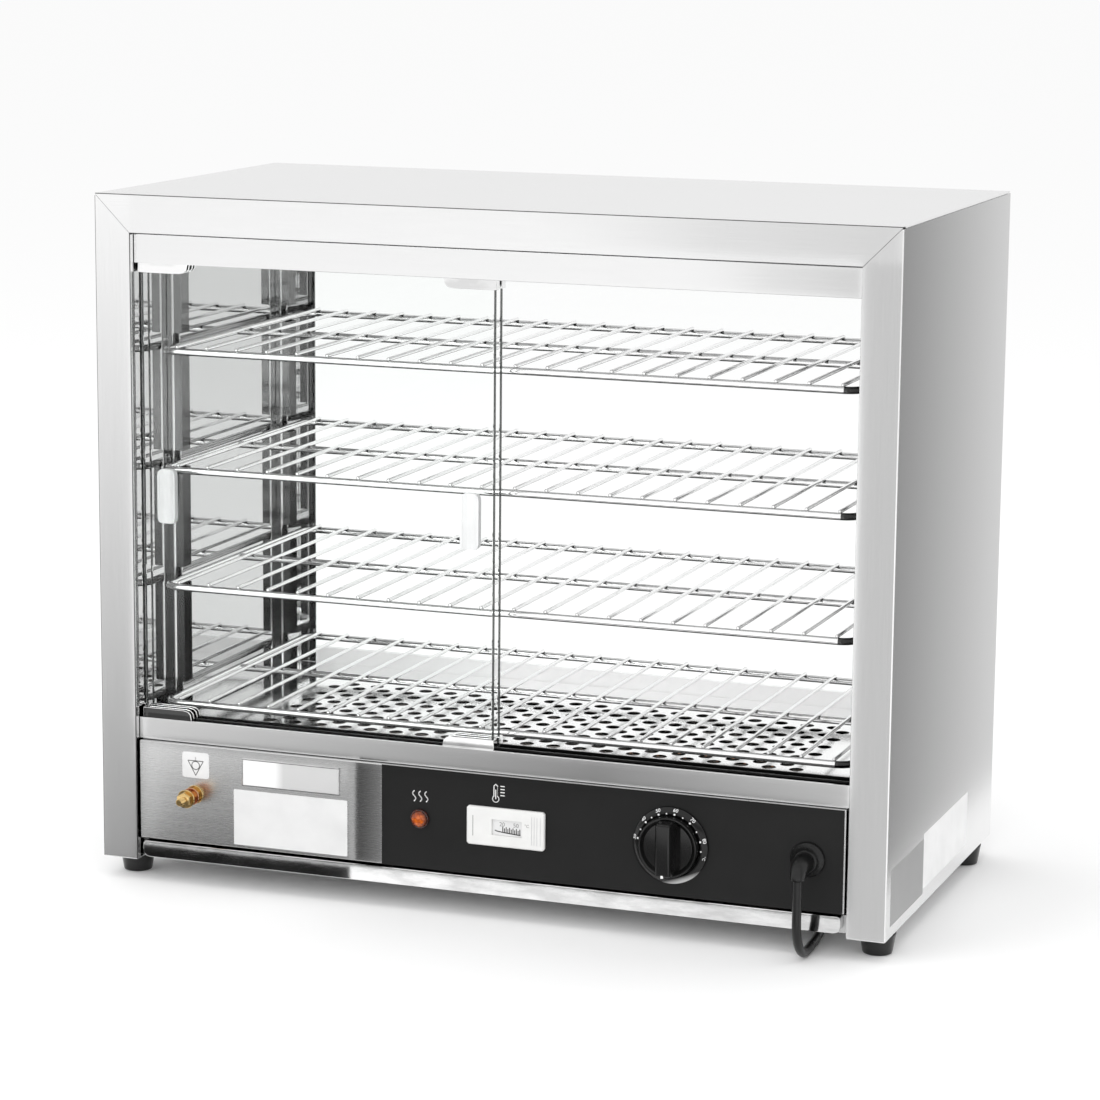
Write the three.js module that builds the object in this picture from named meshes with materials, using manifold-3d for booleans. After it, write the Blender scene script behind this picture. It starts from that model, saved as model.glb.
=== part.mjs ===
// Countertop pie warmer in stainless steel: two sliding glass doors on a double track, a fixed rear pane,
// four wire racks, a perforated plate over two tubular heaters, and a front control panel.
// Millimetres, +Z up. The front faces -Y. The cabinet is drawn from its front plane (y = 0) backwards and
// from its underside (z = 0) upwards, then set on its feet with the whole object centred on the origin.
import * as THREE from "three";
import { mergeVertices } from "three/addons/utils/BufferGeometryUtils.js";
import Module from "manifold-3d";

const wasm = await Module();
wasm.setup();

// Casing
const width = 640;
const depth = 330;
const bodyHeight = 526;
const sheet = 1.2;
const frameWidth = 30;
const frameLip = 5;
const clearance = 0.3;
const overrun = 4;
const weldTolerance = 1e-4;

// Feet
const footHeight = 17;
const footTopRadius = 13.8;
const footBaseRadius = 11.4;
const footRim = 2.2;
const footEdge = 1.4;
const footInsetX = 14;
const footInsetY = 32;

// Control panel, its overlay and the trim below it
const panelSetback = 2;
const panelBottom = 18;
const panelTop = 97;
const panelShelf = 26;
const panelFoot = 18;
const overlaySheet = 0.6;
const overlayEdgeShare = -0.1266;
const panelSideGap = 2.2;
const overlayMargin = 1.3;
const trimSideGap = 4.5;
const trimBottom = 3;
const trimTop = 16;
const trimFace = 0.8;
const trimDepth = 8;
const trimWall = 1.5;
const trimCorner = 6;
const trimBend = 3;
const panUpstand = 14;

// Door tracks
const trackSetback = 6;
const trackFin = 2;
const trackGroove = 8.6;
const trackMidFin = 3.9;
const trackBase = 3.2;
const trackReach = 10;
const sillHeight = 17.5;
const headerHeight = 22.7;

// Doors, their corner clips and finger pulls
const glass = 5;
const doorPlay = 2;
const doorOverlap = 16;
const clipLength = 42;
const clipThickness = 7.6;
const clipFloor = 2;
const clipEnd = 1.6;
const clipShow = 7.6;
const clipNose = 7;
const doorEngage = 4.5;
const pullWidth = 15;
const pullHeight = 43;
const pullDepth = 5.5;
const pullEdge = 19;
const pullCorner = 5;
const pullGrooveRadius = 9;
const pullGrooveDepth = 2.4;
const pullHeightShare = 0.49;

// Inner walls, rear pane and its channels
const rearSetback = 7.5;
const rearReturn = 16;
const channelWall = 1.2;
const channelHeight = 14;
const channelPlay = 0.3;
const rearPanelSetback = 2;
const rearShelf = 13;

// Racks and the posts that carry them
const rackCount = 4;
const rackLowest = 23.6;
const rackPitchShare = 0.2349;
const railRadius = 2.8;
const wireRadius = 1.5;
const weldSink = 0.6;
const wirePitch = 25.5;
const wireTip = 1.4;
const rackCorner = 12;
const rackSideGap = 6;
const rackEndGap = 3;
const postWidth = 14;
const postDepth = 12.5;
const postInset = 30.5;
const notchPlay = 1.2;
const notchRise = 10.5;
const notchCorner = 2;

// Perforated plate, heater tray, elements and brackets
const plateEdge = 8;
const plateGap = 3;
const plateSideGap = 2;
const holeRadius = 5.5;
const holePitch = 36;
const holeRow = 22;
const plateBorder = 56;
const plateFrontBorder = 12;
const trayFront = 50;
const trayDepth = 34;
const trayRearGap = 4;
const elementRadius = 4;
const elementRise = 17;
const elementSpacing = 50;
const elementPairShares = [0.36, 0.69];
const elementBend = 18;
const elementEndShare = 0.4;
const elementTail = 30;
const elementPinRadius = 2.2;
const elementPin = 9;
const elementHole = 5.4;
const bracketShare = 0.23;
const bracketMargin = 12;
const bracketRise = 3;
const bulbRadius = 3;
const bulbLength = 84;
const bulbInset = 18;
const bulbRise = 22;
const capillaryRadius = 1.1;
const capillaryBend = 5;
const capillaryHole = 3;

// Thermostat, its spindle, knob and dial ring
const dialRadius = 29.7;
const dialBore = 24;
const dialDepth = 4.2;
const dialFlat = 1.2;
const dialLand = 1.5;
const knobShare = 0.2395;
const knobRadius = 23.2;
const knobSkirt = 9;
const knobBack = 1;
const knobDish = 4.5;
const knobRim = 1.6;
const knobSlope = 3;
const gripWidth = 11;
const gripTaper = 1.4;
const gripHalf = 21.6;
const gripReach = 21;
const spindleRadius = 3;
const spindleFlat = 2;
const spindleFront = 15;
const spindleRear = 12;
const bushRadius = 5;
const bushFront = 0.5;
const bushNutRadius = 8;
const thermostatWidth = 38;
const thermostatHeight = 34;
const thermostatDepth = 24;
const bushLength = 8;

// Thermometer
const thermometerShare = 0.0342;
const thermometerWidth = 63.3;
const thermometerHeight = 30.2;
const thermometerBezel = 3.2;
const thermometerBevel = 1;
const thermometerBodyWidth = 56;
const thermometerBodyHeight = 24;
const thermometerBodyDepth = 16;
const windowWidth = 24.3;
const windowHeight = 12.4;
const windowDepth = 2;
const windowShift = 1.2;

// Indicator lamp
const lampShare = -0.0766;
const lampRadius = 7.6;
const lampRim = 2;
const lampDome = 5;
const lampDomeRadius = 6.4;
const lampBarrel = 6;
const lampLength = 24;

// Earth stud with its nuts
const studXShare = -0.3755;
const studRadius = 3;
const studReach = 36;
const studTail = 10;
const nutRadius = 6.2;
const nutHeight = 5;
const washerRadius = 7.4;
const washerHeight = 1.4;
const outerNutShare = 0.62;

// Cable gland with its tapered elbow
const glandShare = 0.4055;
const glandFlange = 13.4;
const glandRim = 3;
const glandNeck = 8.6;
const glandShoulder = 9;
const glandBarrel = 8;
const glandTail = 10;
const bootRun = 18;
const bootBend = 9;
const bootStart = 8;
const bootEnd = 6.2;

// Terminal block on the base pan
const terminalShare = 0.33;
const terminalLength = 52;
const terminalDepth = 24;
const terminalBase = 8;
const terminalRib = 4;
const terminalRise = 10;
const terminalWays = 3;
const terminalSetback = 74;

// Mains lead: the free stretch is a hand-laid route in the object's own frame, the rest is a round coil
const leadRadius = 3.5;
const leadSides = 8;
const coilRadius = 49;
const coilPitch = 7.6;
const coilTurns = 2.625;
const coilClimbTurns = 0.5;
const coilSteps = 24;
const coilSides = 6;
const coilStraight = 7;
const coilTail = 30;
const leadRest = 3.6;
const leadRoute = [
  [259.5, -173, 64.7], [259.5, -173, 50], [259.5, -173, 40], [259.5, -173, 31.6],
  [259.5, -172, 24.4], [259.5, -169.2, 17.6], [259.5, -164.8, 11.8], [259.5, -159, 7.4],
  [259.4, -152.2, 4.6], [259.2, -145, 3.6], [258.6, -130, 3.6], [257.2, -112, 3.6],
  [254.6, -92, 3.6], [251.6, -70, 3.6], [249.2, -48, 3.6], [247.8, -26, 3.6],
  [247.4, -4, 3.6], [248, 18, 3.6], [249.6, 40, 3.6], [251.8, 62, 3.6],
  [254.2, 84, 3.6], [256.4, 106, 3.6], [258.2, 128, 3.6], [259.2, 150, 3.6],
  [259.5, 172, 3.6], [259.5, 194, 3.6], [259.5, 216, 3.6], [259.5, 236.7, 3.6],
];

// Plug at the far end of the lead
const plugLength = 44;
const plugWidth = 38;
const plugThickness = 21.8;
const plugCorner = 6;
const plugShoulder = 12;
const plugNeck = 22;
const plugNeckRadius = 7.5;
const plugNeckEnd = 4.6;
const pinLength = 17;
const pinWidth = 6.2;
const pinThickness = 1.7;
const pinSpacing = 13.6;
const pinRise = 1.7;
const pinEarthDrop = 6.2;
const pinEarthWidth = 6.8;

// Number of sides on the round pieces
const roundSides = 20;
const smallSides = 12;
const rodSides = 8;
const railSides = 6;
const wireSides = 5;
const hexSides = 6;
const footSides = 16;
const bendSteps = 3;

// Places worked out from the sizes above
const innerHalf = width / 2 - frameWidth;
const innerTop = bodyHeight - frameWidth;
const trackDepth = 2 * trackFin + 2 * trackGroove + trackMidFin;
const trackHalf = innerHalf + trackReach;
const sillBottom = panelTop + clearance;
const sillTop = sillBottom + sillHeight;
const headerTop = innerTop - clearance;
const headerBottom = headerTop - headerHeight;
const linerFront = trackSetback + trackDepth + clearance;
const panRear = depth - frameLip - clearance;
const linerRear = panRear - sheet - clearance;
const panBottom = sheet + clearance;
const panTop = panBottom + sheet;
const linerBottom = panTop + clearance;
const linerTop = innerTop - clearance;
const rearPaneBack = depth - rearSetback;
const rearPaneFront = rearPaneBack - glass;
const channelFront = rearPaneFront - channelPlay - channelWall;
const plateBottom = panelTop;
const plateTop = plateBottom + sheet;
const plateHalf = innerHalf - plateSideGap;
const plateFront = linerFront + plateGap;
const plateRear = channelFront - plateGap;
const trayRear = plateRear - trayRearGap;
const trayFloor = plateBottom - clearance - trayDepth;
const elementHeight = trayFloor + sheet + elementRise;
const controlsHeight = (panelTop + panelBottom) / 2;
const overlayBack = panelSetback - clearance;
const overlayFront = overlayBack - overlaySheet;
const controlsFace = overlayFront - clearance;
const doorWidth = innerHalf - doorPlay + doorOverlap / 2;
const doorLeft = doorPlay - innerHalf;
const clipBottom = sillBottom + trackBase + clearance;
const paneBottom = clipBottom + clipFloor + clearance;
const clipTop = headerBottom + doorEngage;
const paneTop = clipTop - clipFloor - clearance;
const rackHalf = innerHalf - rackSideGap;
const rackFront = linerFront + rackEndGap;
const rackRear = channelFront - rackEndGap;
const rackPitch = (linerTop - plateTop) * rackPitchShare;
const postBottom = plateTop + clearance;
const postFrontY = rackFront + postInset;
const postRearY = rackRear - postInset - postWidth;
const knobX = width * knobShare;
const lampX = width * lampShare;
const thermometerX = width * thermometerShare;
const glandX = width * glandShare;
const studX = width * studXShare;
const frontReach = Math.max(studReach, gripReach) - panelSetback;
const cabinetShift = (frontReach - depth) / 2;

// Shape helpers

// A closed geometry as a solid that can be joined and cut, turned to face outwards.
function solid(geometry) {
  const plain = geometry.index ? geometry.toNonIndexed() : geometry.clone();
  plain.deleteAttribute("normal");
  plain.deleteAttribute("uv");
  const merged = mergeVertices(plain, weldTolerance);
  const faces = new Uint32Array(merged.index.array);
  const corners = merged.attributes.position.array;
  const made = new wasm.Manifold(new wasm.Mesh({ numProp: 3, vertProperties: corners, triVerts: faces }));
  if (made.volume() > 0) return made;
  return new wasm.Manifold(new wasm.Mesh({ numProp: 3, vertProperties: corners, triVerts: faces.reverse() }));
}

// A solid as a flat-shaded geometry.
function geometryOf(body) {
  const mesh = body.getMesh();
  const indexed = new THREE.BufferGeometry()
    .setAttribute("position", new THREE.BufferAttribute(new Float32Array(mesh.vertProperties), 3))
    .setIndex(new THREE.BufferAttribute(new Uint32Array(mesh.triVerts), 1));
  const geometry = indexed.toNonIndexed();
  geometry.computeVertexNormals();
  return geometry;
}

function join(...bodies) {
  return bodies.reduce((all, body) => all.add(body));
}

function cut(body, ...cutters) {
  return cutters.reduce((rest, cutter) => rest.subtract(cutter), body);
}

function box(x, y, z) {
  const geometry = new THREE.BoxGeometry(x[1] - x[0], y[1] - y[0], z[1] - z[0]);
  return solid(geometry.translate((x[0] + x[1]) / 2, (y[0] + y[1]) / 2, (z[0] + z[1]) / 2));
}

function prism(points, length) {
  const shape = points instanceof THREE.Shape ? points : new THREE.Shape(points);
  return new THREE.ExtrudeGeometry(shape, { depth: length, bevelEnabled: false, curveSegments: bendSteps });
}

// An outline in X and Y, extruded upwards.
function upright(points, z) {
  return solid(prism(points, z[1] - z[0]).translate(0, 0, z[0]));
}

// An outline in X and Z, extruded backwards.
function backward(points, y) {
  return solid(prism(points, y[1] - y[0]).rotateX(Math.PI / 2).translate(0, y[1], 0));
}

// An outline in Y and Z, extruded to the right.
function sideways(points, x) {
  const geometry = prism(points, x[1] - x[0]).rotateX(Math.PI / 2).rotateZ(Math.PI / 2);
  return solid(geometry.translate(x[0], 0, 0));
}

// A profile of radius and Y, turned about the Y axis through (x, z).
function turned(profile, x, z, sides) {
  return solid(new THREE.LatheGeometry(profile, sides).translate(x, 0, z));
}

// A profile of radius and Z, turned about the upright axis through (x, y).
function turnedUpright(profile, x, y, sides) {
  return solid(new THREE.LatheGeometry(profile, sides).rotateX(Math.PI / 2).translate(x, y, 0));
}

// A round bar through (x, z) from front to back.
function barBack(radius, x, z, y, sides) {
  return turned([point(0, y[0]), point(radius, y[0]), point(radius, y[1]), point(0, y[1])], x, z, sides);
}

function point(a, b) {
  return new THREE.Vector2(a, b);
}

// Outline of a sheet folded along straight runs, with its thickness laid to the right of the path.
function folded(path, thickness) {
  const last = path.length - 1;
  const along = path.slice(1).map((end, i) => end.clone().sub(path[i]).normalize());
  const inner = path.map((corner, i) => {
    const before = along[Math.max(i - 1, 0)];
    const after = along[Math.min(i, last - 1)];
    const normal = point(before.y + after.y, -before.x - after.x);
    return corner.clone().addScaledVector(normal, thickness / (1 + before.dot(after)));
  });
  return [...path, ...inner.reverse()];
}

// An outline of corners given as [a, b, radius], with each corner rounded to its radius.
function rounded(corners) {
  const shape = new THREE.Shape();
  corners.forEach(([a, b, radius], i) => {
    const here = point(a, b);
    const before = point(...corners.at(i - 1));
    const after = point(...corners[(i + 1) % corners.length]);
    const start = before.sub(here).setLength(radius).add(here);
    const end = after.sub(here).setLength(radius).add(here);
    if (i === 0) shape.moveTo(start.x, start.y);
    else shape.lineTo(start.x, start.y);
    if (radius > 0) shape.quadraticCurveTo(a, b, end.x, end.y);
  });
  shape.closePath();
  return shape;
}

function roundedBox(a, b, radius) {
  return rounded([
    [a[0], b[0], radius],
    [a[1], b[0], radius],
    [a[1], b[1], radius],
    [a[0], b[1], radius],
  ]);
}

// Points along straight runs whose corners are bent to a radius.
function bentPath(corners, radius, closed) {
  const points = [];
  corners.forEach((corner, i) => {
    const isEnd = !closed && (i === 0 || i === corners.length - 1);
    if (isEnd) {
      points.push(corner);
      return;
    }
    const start = corners.at(i - 1).clone().sub(corner).setLength(radius).add(corner);
    const end = corners[(i + 1) % corners.length].clone().sub(corner).setLength(radius).add(corner);
    const bend = new THREE.QuadraticBezierCurve3(start, corner, end);
    points.push(...bend.getPoints(bendSteps));
  });
  return points;
}

// A round tube through points, its radius given per point, carrying a first normal along without twist.
function tube(points, radii, sides, firstNormal, closed) {
  const count = points.length;
  const rings = [];
  let normal = firstNormal.clone();
  points.forEach((at, i) => {
    const before = closed ? points.at(i - 1) : points[Math.max(i - 1, 0)];
    const after = closed ? points[(i + 1) % count] : points[Math.min(i + 1, count - 1)];
    const tangent = after.clone().sub(before).normalize();
    normal = normal.clone().addScaledVector(tangent, -normal.dot(tangent)).normalize();
    const side = tangent.clone().cross(normal);
    for (let s = 0; s < sides; s++) {
      const turn = (2 * Math.PI * s) / sides;
      const offset = normal.clone().multiplyScalar(Math.cos(turn)).addScaledVector(side, Math.sin(turn));
      rings.push(...at.clone().addScaledVector(offset, radii[i]));
    }
  });
  const faces = [];
  const spans = closed ? count : count - 1;
  for (let i = 0; i < spans; i++) {
    const from = i * sides;
    const to = ((i + 1) % count) * sides;
    for (let s = 0; s < sides; s++) {
      const next = (s + 1) % sides;
      faces.push(from + s, from + next, to + s, from + next, to + next, to + s);
    }
  }
  if (!closed) {
    const end = (count - 1) * sides;
    for (let s = 1; s < sides - 1; s++) faces.push(0, s + 1, s, end, end + s, end + s + 1);
  }
  const geometry = new THREE.BufferGeometry()
    .setAttribute("position", new THREE.Float32BufferAttribute(rings, 3))
    .setIndex(faces);
  return solid(geometry);
}

function evenTube(points, radius, sides, firstNormal, closed) {
  return tube(points, points.map(() => radius), sides, firstNormal, closed);
}

function vector(x, y, z) {
  return new THREE.Vector3(x, y, z);
}

// Materials

function brushedSteel() {
  return new THREE.MeshStandardMaterial({ color: 0xd6d8d9, roughness: 0.34, metalness: 1 });
}

function polishedSteel() {
  return new THREE.MeshStandardMaterial({ color: 0xe6e8ea, roughness: 0.1, metalness: 1 });
}

function clearGlass() {
  const look = { color: 0xeef4f3, roughness: 0.03, metalness: 0, transparent: true, opacity: 0.18 };
  return new THREE.MeshStandardMaterial(look);
}

function blackPlastic() {
  return new THREE.MeshStandardMaterial({ color: 0x1b1b1c, roughness: 0.45, metalness: 0 });
}

function whitePlastic() {
  return new THREE.MeshStandardMaterial({ color: 0xf1f1ef, roughness: 0.4, metalness: 0 });
}

function frostedPlastic() {
  return new THREE.MeshStandardMaterial({ color: 0xeef2f2, roughness: 0.5, metalness: 0 });
}

function blackRubber() {
  return new THREE.MeshStandardMaterial({ color: 0x161616, roughness: 0.7, metalness: 0 });
}

function brass() {
  return new THREE.MeshStandardMaterial({ color: 0xd8b15c, roughness: 0.25, metalness: 1 });
}

function amberLens() {
  return new THREE.MeshStandardMaterial({ color: 0xf07a12, roughness: 0.2, metalness: 0 });
}

function overlayFilm() {
  return new THREE.MeshStandardMaterial({ color: 0x3c3c3d, roughness: 0.6, metalness: 0 });
}

function add(group, name, body, material) {
  const mesh = new THREE.Mesh(geometryOf(body), material);
  mesh.name = name;
  group.add(mesh);
  return mesh;
}

// Casing: side panels with their folded stiles, and the top panel with its rails, mitred at the corners

// Cuts above or below the mitre line of one top corner, over the depth of a folded frame.
function mitreCutter(side, keepTop, y) {
  const drop = keepTop ? 0 : -clearance;
  const out = width / 2 + overrun;
  const inside = innerHalf - overrun;
  const high = bodyHeight + overrun + drop;
  const low = innerTop - overrun + drop;
  const far = keepTop ? low : high + overrun;
  const corners = keepTop
    ? [point(side * out, high), point(side * inside, low), point(side * out, far)]
    : [point(side * out, high), point(side * inside, low), point(side * inside, far), point(side * out, far)];
  return backward(corners, y);
}

const frameSpans = [
  [-overrun, frameLip + clearance],
  [depth - frameLip - clearance, depth + overrun],
];

function sidePanel(side) {
  const path = [
    point(side * innerHalf, frameLip),
    point(side * innerHalf, 0),
    point((side * width) / 2, 0),
    point((side * width) / 2, depth),
    point(side * innerHalf, depth),
    point(side * innerHalf, depth - frameLip),
  ];
  const shell = upright(folded(path, side < 0 ? sheet : -sheet), [0, bodyHeight - sheet - clearance]);
  const inner = side * innerHalf;
  const outer = side * (width / 2 - sheet / 2);
  const base = box([Math.min(inner, outer), Math.max(inner, outer)], [sheet / 2, depth - sheet / 2], [0, sheet]);
  return cut(join(shell, base), ...frameSpans.map((span) => mitreCutter(side, false, span)));
}

function topPanel() {
  const path = [
    point(depth - frameLip, innerTop),
    point(depth, innerTop),
    point(depth, bodyHeight),
    point(0, bodyHeight),
    point(0, innerTop),
    point(frameLip, innerTop),
  ];
  const shell = sideways(folded(path, -sheet), [-width / 2, width / 2]);
  const cutters = [-1, 1].flatMap((side) => frameSpans.map((span) => mitreCutter(side, true, span)));
  return cut(shell, ...cutters);
}

// Door tracks: a base with three fins, opening upwards at the sill and downwards at the header

function track(baseZ, finZ) {
  const base = baseZ + Math.sign(finZ - baseZ) * trackBase;
  const steps = [trackFin, trackGroove, trackMidFin, trackGroove, trackFin];
  const outline = [point(trackSetback, baseZ)];
  let y = trackSetback;
  steps.forEach((step, i) => {
    const level = i % 2 === 0 ? finZ : base;
    outline.push(point(y, level), point(y + step, level));
    y += step;
  });
  outline.push(point(y, baseZ));
  return sideways(outline, [-trackHalf, trackHalf]);
}

// Doors, drawn at rest: both pushed to the left, one behind the other

function paneFace(trackIndex) {
  const grooveStart = trackSetback + trackFin + trackIndex * (trackGroove + trackMidFin);
  return grooveStart + (trackGroove - glass) / 2;
}

function doorPane(trackIndex) {
  const face = paneFace(trackIndex);
  const edge = clipEnd + clearance;
  return box([doorLeft + edge, doorLeft + doorWidth - edge], [face, face + glass], [paneBottom, paneTop]);
}

// A channel over one corner of the pane, closed at the pane's edge and rounded towards the middle.
function doorClip(trackIndex, atRight, atTop) {
  const face = paneFace(trackIndex);
  const middle = face + glass / 2;
  const outer = atRight ? doorLeft + doorWidth : doorLeft;
  const inward = atRight ? -1 : 1;
  const shut = atTop ? clipTop : clipBottom;
  const open = atTop ? headerBottom - clipShow : sillTop + clipShow;
  const toOpen = Math.sign(open - shut);
  const outline = rounded([
    [outer, shut, 0],
    [outer + inward * clipLength, shut, 0],
    [outer + inward * clipLength, open, clipNose],
    [outer, open, 0],
  ]);
  const plate = backward(outline, [middle - clipThickness / 2, middle + clipThickness / 2]);
  const slotFrom = outer + inward * clipEnd;
  const slotTo = outer + inward * (clipLength + overrun);
  const slotShut = shut + toOpen * clipFloor;
  const slotOpen = open + toOpen * overrun;
  const slot = box(
    [Math.min(slotFrom, slotTo), Math.max(slotFrom, slotTo)],
    [face - clearance, face + glass + clearance],
    [Math.min(slotShut, slotOpen), Math.max(slotShut, slotOpen)],
  );
  return cut(plate, slot);
}

// A stick-on finger pull with a hollow down its face.
function doorPull(trackIndex, centreX) {
  const back = paneFace(trackIndex) - clearance;
  const front = back - pullDepth;
  const middleZ = sillTop + (headerBottom - sillTop) * pullHeightShare;
  const outline = roundedBox(
    [centreX - pullWidth / 2, centreX + pullWidth / 2],
    [middleZ - pullHeight / 2, middleZ + pullHeight / 2],
    pullCorner,
  );
  const hollowY = front - pullGrooveRadius + pullGrooveDepth;
  const half = pullHeight / 2 + overrun;
  const hollow = new THREE.CylinderGeometry(pullGrooveRadius, pullGrooveRadius, 2 * half, roundSides);
  const groove = solid(hollow.rotateX(Math.PI / 2).translate(centreX, hollowY, middleZ));
  return cut(backward(outline, [front, back]), groove);
}

// Control panel and what shows on it

function panelHoles(y) {
  const gap = clearance;
  const cutout = (halfWidth, halfHeight, x) =>
    box(
      [x - halfWidth - gap, x + halfWidth + gap],
      y,
      [controlsHeight - halfHeight - gap, controlsHeight + halfHeight + gap],
    );
  return {
    bush: barBack(bushRadius + gap, knobX, controlsHeight, y, smallSides),
    lamp: barBack(lampBarrel + gap, lampX, controlsHeight, y, smallSides),
    gland: barBack(glandBarrel + gap, glandX, controlsHeight, y, smallSides),
    thermometer: cutout(thermometerBodyWidth / 2, thermometerBodyHeight / 2, thermometerX),
    stud: barBack(studRadius + gap, studX, controlsHeight, y, smallSides),
  };
}

function controlPanel() {
  const path = [
    point(panelFoot, panelBottom),
    point(panelSetback, panelBottom),
    point(panelSetback, panelTop),
    point(panelShelf, panelTop),
  ];
  const half = innerHalf - panelSideGap;
  const holes = panelHoles([panelSetback - overrun, panelSetback + overrun]);
  return cut(sideways(folded(path, sheet), [-half, half]), ...Object.values(holes));
}

function panelOverlay() {
  const holes = panelHoles([overlayFront - overrun, overlayBack + overrun]);
  const left = width * overlayEdgeShare;
  const right = innerHalf - panelSideGap - overlayMargin;
  const plate = box([left, right], [overlayFront, overlayBack], [panelBottom, panelTop]);
  return cut(plate, holes.bush, holes.lamp, holes.gland, holes.thermometer);
}

function lowerTrim() {
  const half = innerHalf - trimSideGap;
  const outline = rounded([
    [-half, trimBottom, trimCorner],
    [half, trimBottom, trimCorner],
    [half, trimTop, trimBend],
    [-half, trimTop, trimBend],
  ]);
  const hollow = box(
    [-half + trimCorner, half - trimCorner],
    [trimFace + trimWall, trimFace + trimDepth + overrun],
    [trimBottom + trimWall, trimTop - trimWall],
  );
  return cut(backward(outline, [trimFace, trimFace + trimDepth]), hollow);
}

function basePan() {
  const front = trimFace + trimDepth + clearance;
  const path = [
    point(panRear, panBottom + panUpstand),
    point(panRear, panBottom),
    point(front, panBottom),
    point(front, panBottom + panUpstand),
  ];
  const half = width / 2 - sheet - clearance;
  return sideways(folded(path, sheet), [-half, half]);
}

function rearLowerPanel() {
  const face = depth - rearPanelSetback;
  const path = [point(face - rearShelf, panelTop), point(face, panelTop), point(face, panTop)];
  const half = innerHalf - clearance;
  return sideways(folded(path, sheet), [-half, half]);
}

// Inner walls, ceiling, and the rear pane in its two channels

// A side wall whose middle reaches forward past the doors' edges, with a strip across the rear pane's edge.
function innerWall(side) {
  const across = (from, to) => [Math.min(side * from, side * to), Math.max(side * from, side * to)];
  const x = across(innerHalf, innerHalf + sheet);
  const wall = box(x, [linerFront, linerRear], [linerBottom, linerTop]);
  const jamb = box(x, [frameLip + clearance, linerFront + sheet], [sillTop + clearance, headerBottom - clearance]);
  const strip = box(
    across(innerHalf - rearReturn, innerHalf + sheet),
    [channelFront - clearance - sheet, channelFront - clearance],
    [sillBottom + clearance, linerTop],
  );
  return join(wall, jamb, strip);
}

function innerCeiling() {
  const half = innerHalf + sheet;
  return box([-half, half], [linerFront, linerRear], [innerTop, innerTop + sheet]);
}

function rearChannel(shut, open) {
  const toOpen = Math.sign(open - shut);
  const half = innerHalf - clearance;
  const y = [channelFront, rearPaneBack + channelPlay + channelWall];
  const bar = box([-half, half], y, [Math.min(shut, open), Math.max(shut, open)]);
  const slotShut = shut + toOpen * channelWall;
  const slotOpen = open + toOpen * overrun;
  const slot = box(
    [-half - overrun, half + overrun],
    [rearPaneFront - channelPlay, rearPaneBack + channelPlay],
    [Math.min(slotShut, slotOpen), Math.max(slotShut, slotOpen)],
  );
  return cut(bar, slot);
}

function rearPane() {
  const half = innerHalf - 2 * clearance;
  const bottom = sillBottom + channelWall + clearance;
  const top = headerTop - channelWall - clearance;
  return box([-half, half], [rearPaneFront, rearPaneBack], [bottom, top]);
}

// Racks and the notched posts that carry them

function rackLevel(index) {
  return plateTop + rackLowest + (rackCount - 1 - index) * rackPitch;
}

function wireRack(index) {
  const z = rackLevel(index);
  const side = rackHalf - railRadius;
  const front = rackFront + railRadius;
  const rear = rackRear - railRadius;
  const corners = [
    vector(-side, front, z), vector(side, front, z), vector(side, rear, z), vector(-side, rear, z),
  ];
  const up = vector(0, 0, 1);
  const frame = evenTube(bentPath(corners, rackCorner, true), railRadius, railSides, up, true);
  const middle = (front + rear) / 2;
  const rail = evenTube([vector(-side, middle, z), vector(side, middle, z)], railRadius, railSides, up, false);
  const wires = [];
  const perSide = Math.floor((side - wirePitch / 2) / wirePitch);
  const wireZ = z + railRadius + wireRadius - weldSink;
  for (let i = -perSide; i <= perSide + 1; i++) {
    const x = (i - 1 / 2) * wirePitch;
    const ends = [vector(x, front - wireTip, wireZ), vector(x, rear + wireTip, wireZ)];
    wires.push(evenTube(ends, wireRadius, wireSides, vector(0, 0, -1), false));
  }
  return join(frame, rail, ...wires);
}

// An upright channel against the wall, notched open at each rack so that its side rail drops into the notch.
function rackPost(side, startY) {
  const wall = side * (innerHalf - clearance);
  const web = wall - side * postDepth;
  const endY = startY + postWidth;
  const path = [point(wall, startY), point(web, startY), point(web, endY), point(wall, endY)];
  const channel = upright(folded(path, side < 0 ? -sheet : sheet), [postBottom, linerTop]);
  const open = web - side * overrun;
  const shut = side * (rackHalf + notchPlay);
  const notches = [];
  for (let i = 0; i < rackCount; i++) {
    const seat = rackLevel(i) - railRadius - clearance;
    const top = rackLevel(i) + notchRise;
    const outline = rounded([
      [open, seat, 0],
      [shut, seat, notchCorner],
      [shut, top, notchCorner],
      [open, top, 0],
    ]);
    notches.push(backward(outline, [startY - overrun, endY + overrun]));
  }
  return cut(channel, ...notches);
}

// Perforated plate, heater tray, elements, brackets and sensing bulb

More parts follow.
